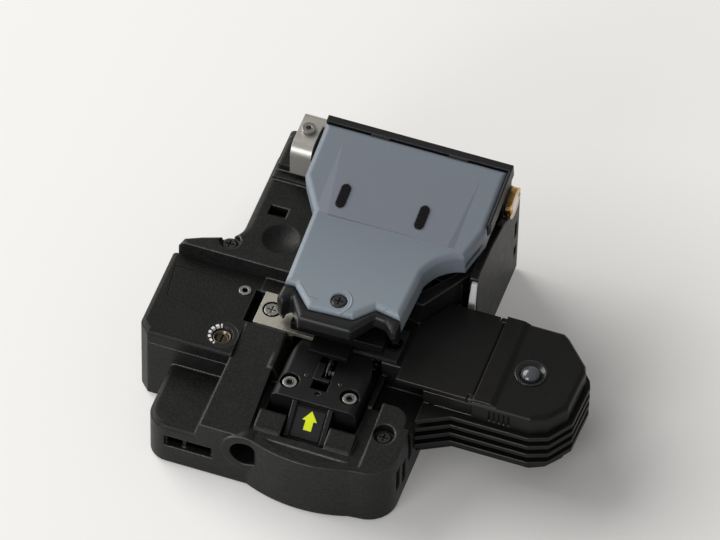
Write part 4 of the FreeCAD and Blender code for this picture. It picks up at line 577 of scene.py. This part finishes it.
def share(length, whole):
    """A length as a share of a whole, kept between 0 and 1."""
    return min(max(length / whole, 0.0), 1.0)


grip_soft = moulded("grip_soft", (0.009, 0.0093, 0.01), rough=0.34, grain_mm=0.3, grain_depth=0.012,
                    edge_mm=0.6, wear_and_highlight=5.0, sheen=0.3, cloudy=0.2, shine=0.4)
grip = stand_in("lever_grip", "lever", "grip_charcoal",
                ("REMESH", {"mode": "VOXEL", "voxel_size": GRIP_VOXEL * MM}),
                ("SMOOTH", {"factor": 0.5, "iterations": 9}))
forwards = [max(-corner.normal.y, 0.0) for corner in grip.data.vertices]
for corner, forward in zip(grip.data.vertices, forwards):
    east, north, up = corner.co / MM
    deep = GRIP_TOP + north * GRIP_FALL - up
    lean = LEAN_OUT * min(max(deep, 0.0), GRIP_RIM) - LEAN_BACK * max(deep - GRIP_RIM, 0.0)
    corner.co.y -= max(lean, -MOST_BACK) * forward * MM
    corner.co.z -= WING_DROP * share(WING_START - east, WING_FADE) * share(deep, WING_ROOT) * MM
grip.data.materials.clear()
grip.data.materials.append(grip_soft.made)

# ---------------------------------------------------------------- carriage
# A block of black anodised aluminium that runs on the rods, with a moulded push tab and
# the arm that holds the blade. Two blued pins end flush with its top.
anodised = moulded("anodised_black", (0.0075, 0.0075, 0.0075), rough=0.4, grain_mm=0.3, grain_depth=0.012,
                   edge_mm=0.35, wear_and_highlight=12.0, sheen=0.2, cloudy=0.4, shine=0.7)
dress(anodised, "blade_carriage", "push_tab", "blade_arm")
dark_pin = machined("dark_pin", (0.12, 0.115, 0.11), rough=0.22, lines=TURNED, line_mm=0.3, depth=0.01,
                    edge_mm=0.2)
dress(dark_pin, "link_pins")

# ---------------------------------------------------------------- blade
# A thin disc of tungsten carbide with a ground edge, clamped on its axle in the arm. Only
# its rim shows, in the slot on top of the carriage.
carbide = machined("ground_carbide", (0.3, 0.3, 0.31), rough=0.25, lines=EVEN, line_mm=0.3)
dress(carbide, "blade_wheel")

spring = stand_in("return_spring", "base", "spring_wire")
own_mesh(spring)

# ---------------------------------------------------------------- clamp pads and feed roller
# Matt black rubber, bonded to the faces that hold the fibre, and moulded round the core
# of the roller that draws the off-cut in.
pad_black = moulded("pad_black", (0.02, 0.02, 0.021), rough=0.7, grain_mm=0.2, grain_depth=0.01, edge_mm=0.1)
dress(pad_black, "lower_clamp_pads", "left_upper_pad", "right_upper_pad", "anvil_pad", "lid_pad",
      "feed_roller")

# ---------------------------------------------------------------- arrow label
# A satin black label on the push tab. Its printed yellow arrow shows which way the
# carriage is pushed.
ARROW_MIDDLE = 0.15
ARROW_TIP = -22.95
ARROW_NECK = -25.15
ARROW_END = -27.3
ARROW_SPREAD = 0.92
STEM_HALF = 1.1
SLANT_BLUR = 0.04
INK_BLUR = 0.03
INK_RISE = 0.03
ARROW_YELLOW = (0.66, 0.75, 0.012)

label_black = moulded("label_black", (0.013, 0.013, 0.014), rough=0.34, grain_mm=0.2, grain_depth=0.004,
                      edge_mm=0.15, wear_and_highlight=4.0, sheen=0.3)
east, north, _ = label_black.axes()
aside = abs(east - ARROW_MIDDLE)
head = label_black.ramp((ARROW_TIP - north) * ARROW_SPREAD - aside, -SLANT_BLUR, SLANT_BLUR)
head = head * label_black.ramp(north, ARROW_NECK - INK_BLUR, ARROW_NECK + INK_BLUR)
stem = label_black.ramp(aside, STEM_HALF + SLANT_BLUR, STEM_HALF - SLANT_BLUR)
stem = stem * label_black.ramp(north, ARROW_END - INK_BLUR, ARROW_END + INK_BLUR)
stem = stem * label_black.ramp(north, ARROW_NECK + 0.05 + INK_BLUR, ARROW_NECK + 0.05 - INK_BLUR)
arrow = head.high(stem)
label_black.feed("Base Color", label_black.over(arrow, label_black.tone, ARROW_YELLOW))
label_black.relief(label_black.height + arrow * INK_RISE, 1.0, 0.1)
dress(label_black, "arrow_label")

# ---------------------------------------------------------------- blade adjuster
# A stepped bronze screw turns inside a black ring, whose left half is marked with thick
# white ticks. The screw is darker towards the bottom of its slot.
DIAL = (-30.3, -9.0)
RING_TOP = 26.4
TICK_ANGLE = 0.215
TICK_RADIUS = 3.15
TICK_HALF_WIDTH = 0.42
TICK_HALF_LENGTH = 0.58
TICK_BLUR = 0.08
TICK_WHITE = (0.7, 0.7, 0.68)
TICKS_SPREAD = 1.24
SLOT_FLOOR = 25.2
SLOT_DARK = (0.03, 0.026, 0.02)

dial_black = moulded("dial_black", (0.008, 0.008, 0.008), rough=0.35, grain_mm=0.2, grain_depth=0.004,
                     edge_mm=0.2, wear_and_highlight=6.0, sheen=0.3)
at_dial = dial_black.axes()
reach = from_point(at_dial, DIAL).root()
turn = reach.math("ARCTAN2", at_dial[1] - DIAL[1], DIAL[0] - at_dial[0])
beat = reach.math("PINGPONG", turn, TICK_ANGLE)
ticks = dial_black.ramp(beat * reach, TICK_HALF_WIDTH + TICK_BLUR, TICK_HALF_WIDTH)
ticks = ticks * dial_black.ramp(abs(turn), TICKS_SPREAD + 0.06, TICKS_SPREAD)
ticks = ticks * dial_black.ramp(abs(reach - TICK_RADIUS), TICK_HALF_LENGTH + TICK_BLUR, TICK_HALF_LENGTH)
ticks = ticks * dial_black.ramp(at_dial[2], RING_TOP - 0.1, RING_TOP)
dial_black.feed("Base Color", dial_black.over(ticks, dial_black.tone, TICK_WHITE))
dress(dial_black, "dial_ring")

bronze = machined("bronze", (0.15, 0.125, 0.09), rough=0.3, lines=EVEN, line_mm=0.25, depth=0.01,
                  edge_mm=0.3)
down = bronze.ramp(bronze.axes()[2], SLOT_FLOOR + 0.4, SLOT_FLOOR)
bronze.feed("Base Color", bronze.over(down * 0.85, bronze.tone, SLOT_DARK))
dress(bronze, "adjust_screw")

# ---------------------------------------------------------------- hinge nut
# A ring nut turned from brass bar, with a slot across its face. It closes the right end
# of the hinge shaft.
turned_brass = machined("turned_brass", (0.6, 0.36, 0.12), rough=0.25, lines=EVEN, line_mm=0.25)
dress(turned_brass, "hinge_nut")

# ---------------------------------------------------------------- collector
# The off-cut box, its cap and its lid are glossier black nylon, whose upward edges are
# lightened by rubbing and by a painted highlight. A dark turned ring is pressed into the cap.
case_black = moulded("case_black", (0.0085, 0.0079, 0.0075), rough=0.36, grain_mm=0.3, grain_depth=0.012,
                     edge_mm=0.5, wear_and_highlight=15.0, sheen=0.16, cloudy=0.3, shine=0.7)
dress(case_black, "collector_box", "collector_cap", "collector_lid")
ring_dark = moulded("ring_dark", (0.008, 0.008, 0.009), rough=0.22, grain_mm=0.2, grain_depth=0.003,
                    edge_mm=0.3, wear_and_highlight=12.0, sheen=0.5)
dress(ring_dark, "button_ring")

# ---------------------------------------------------------------- collector button
# A polished dome of smoky acrylic that rides inside the ring. Its rim is rounded over, so
# it mirrors the studio's lights.
BUTTON_ROUND = 1.1

button_gloss = moulded("button_gloss", (0.06, 0.063, 0.07), rough=0.1, grain_mm=0.5, grain_depth=0.001,
                       edge_mm=0.2, wear_and_highlight=1.3, sheen=0.8)
button = stand_in("collector_button", "button", "button_gloss",
                  ("BEVEL", {"width": BUTTON_ROUND * MM, "segments": 6, "limit_method": "ANGLE"}))
button.data.materials.clear()
button.data.materials.append(button_gloss.made)
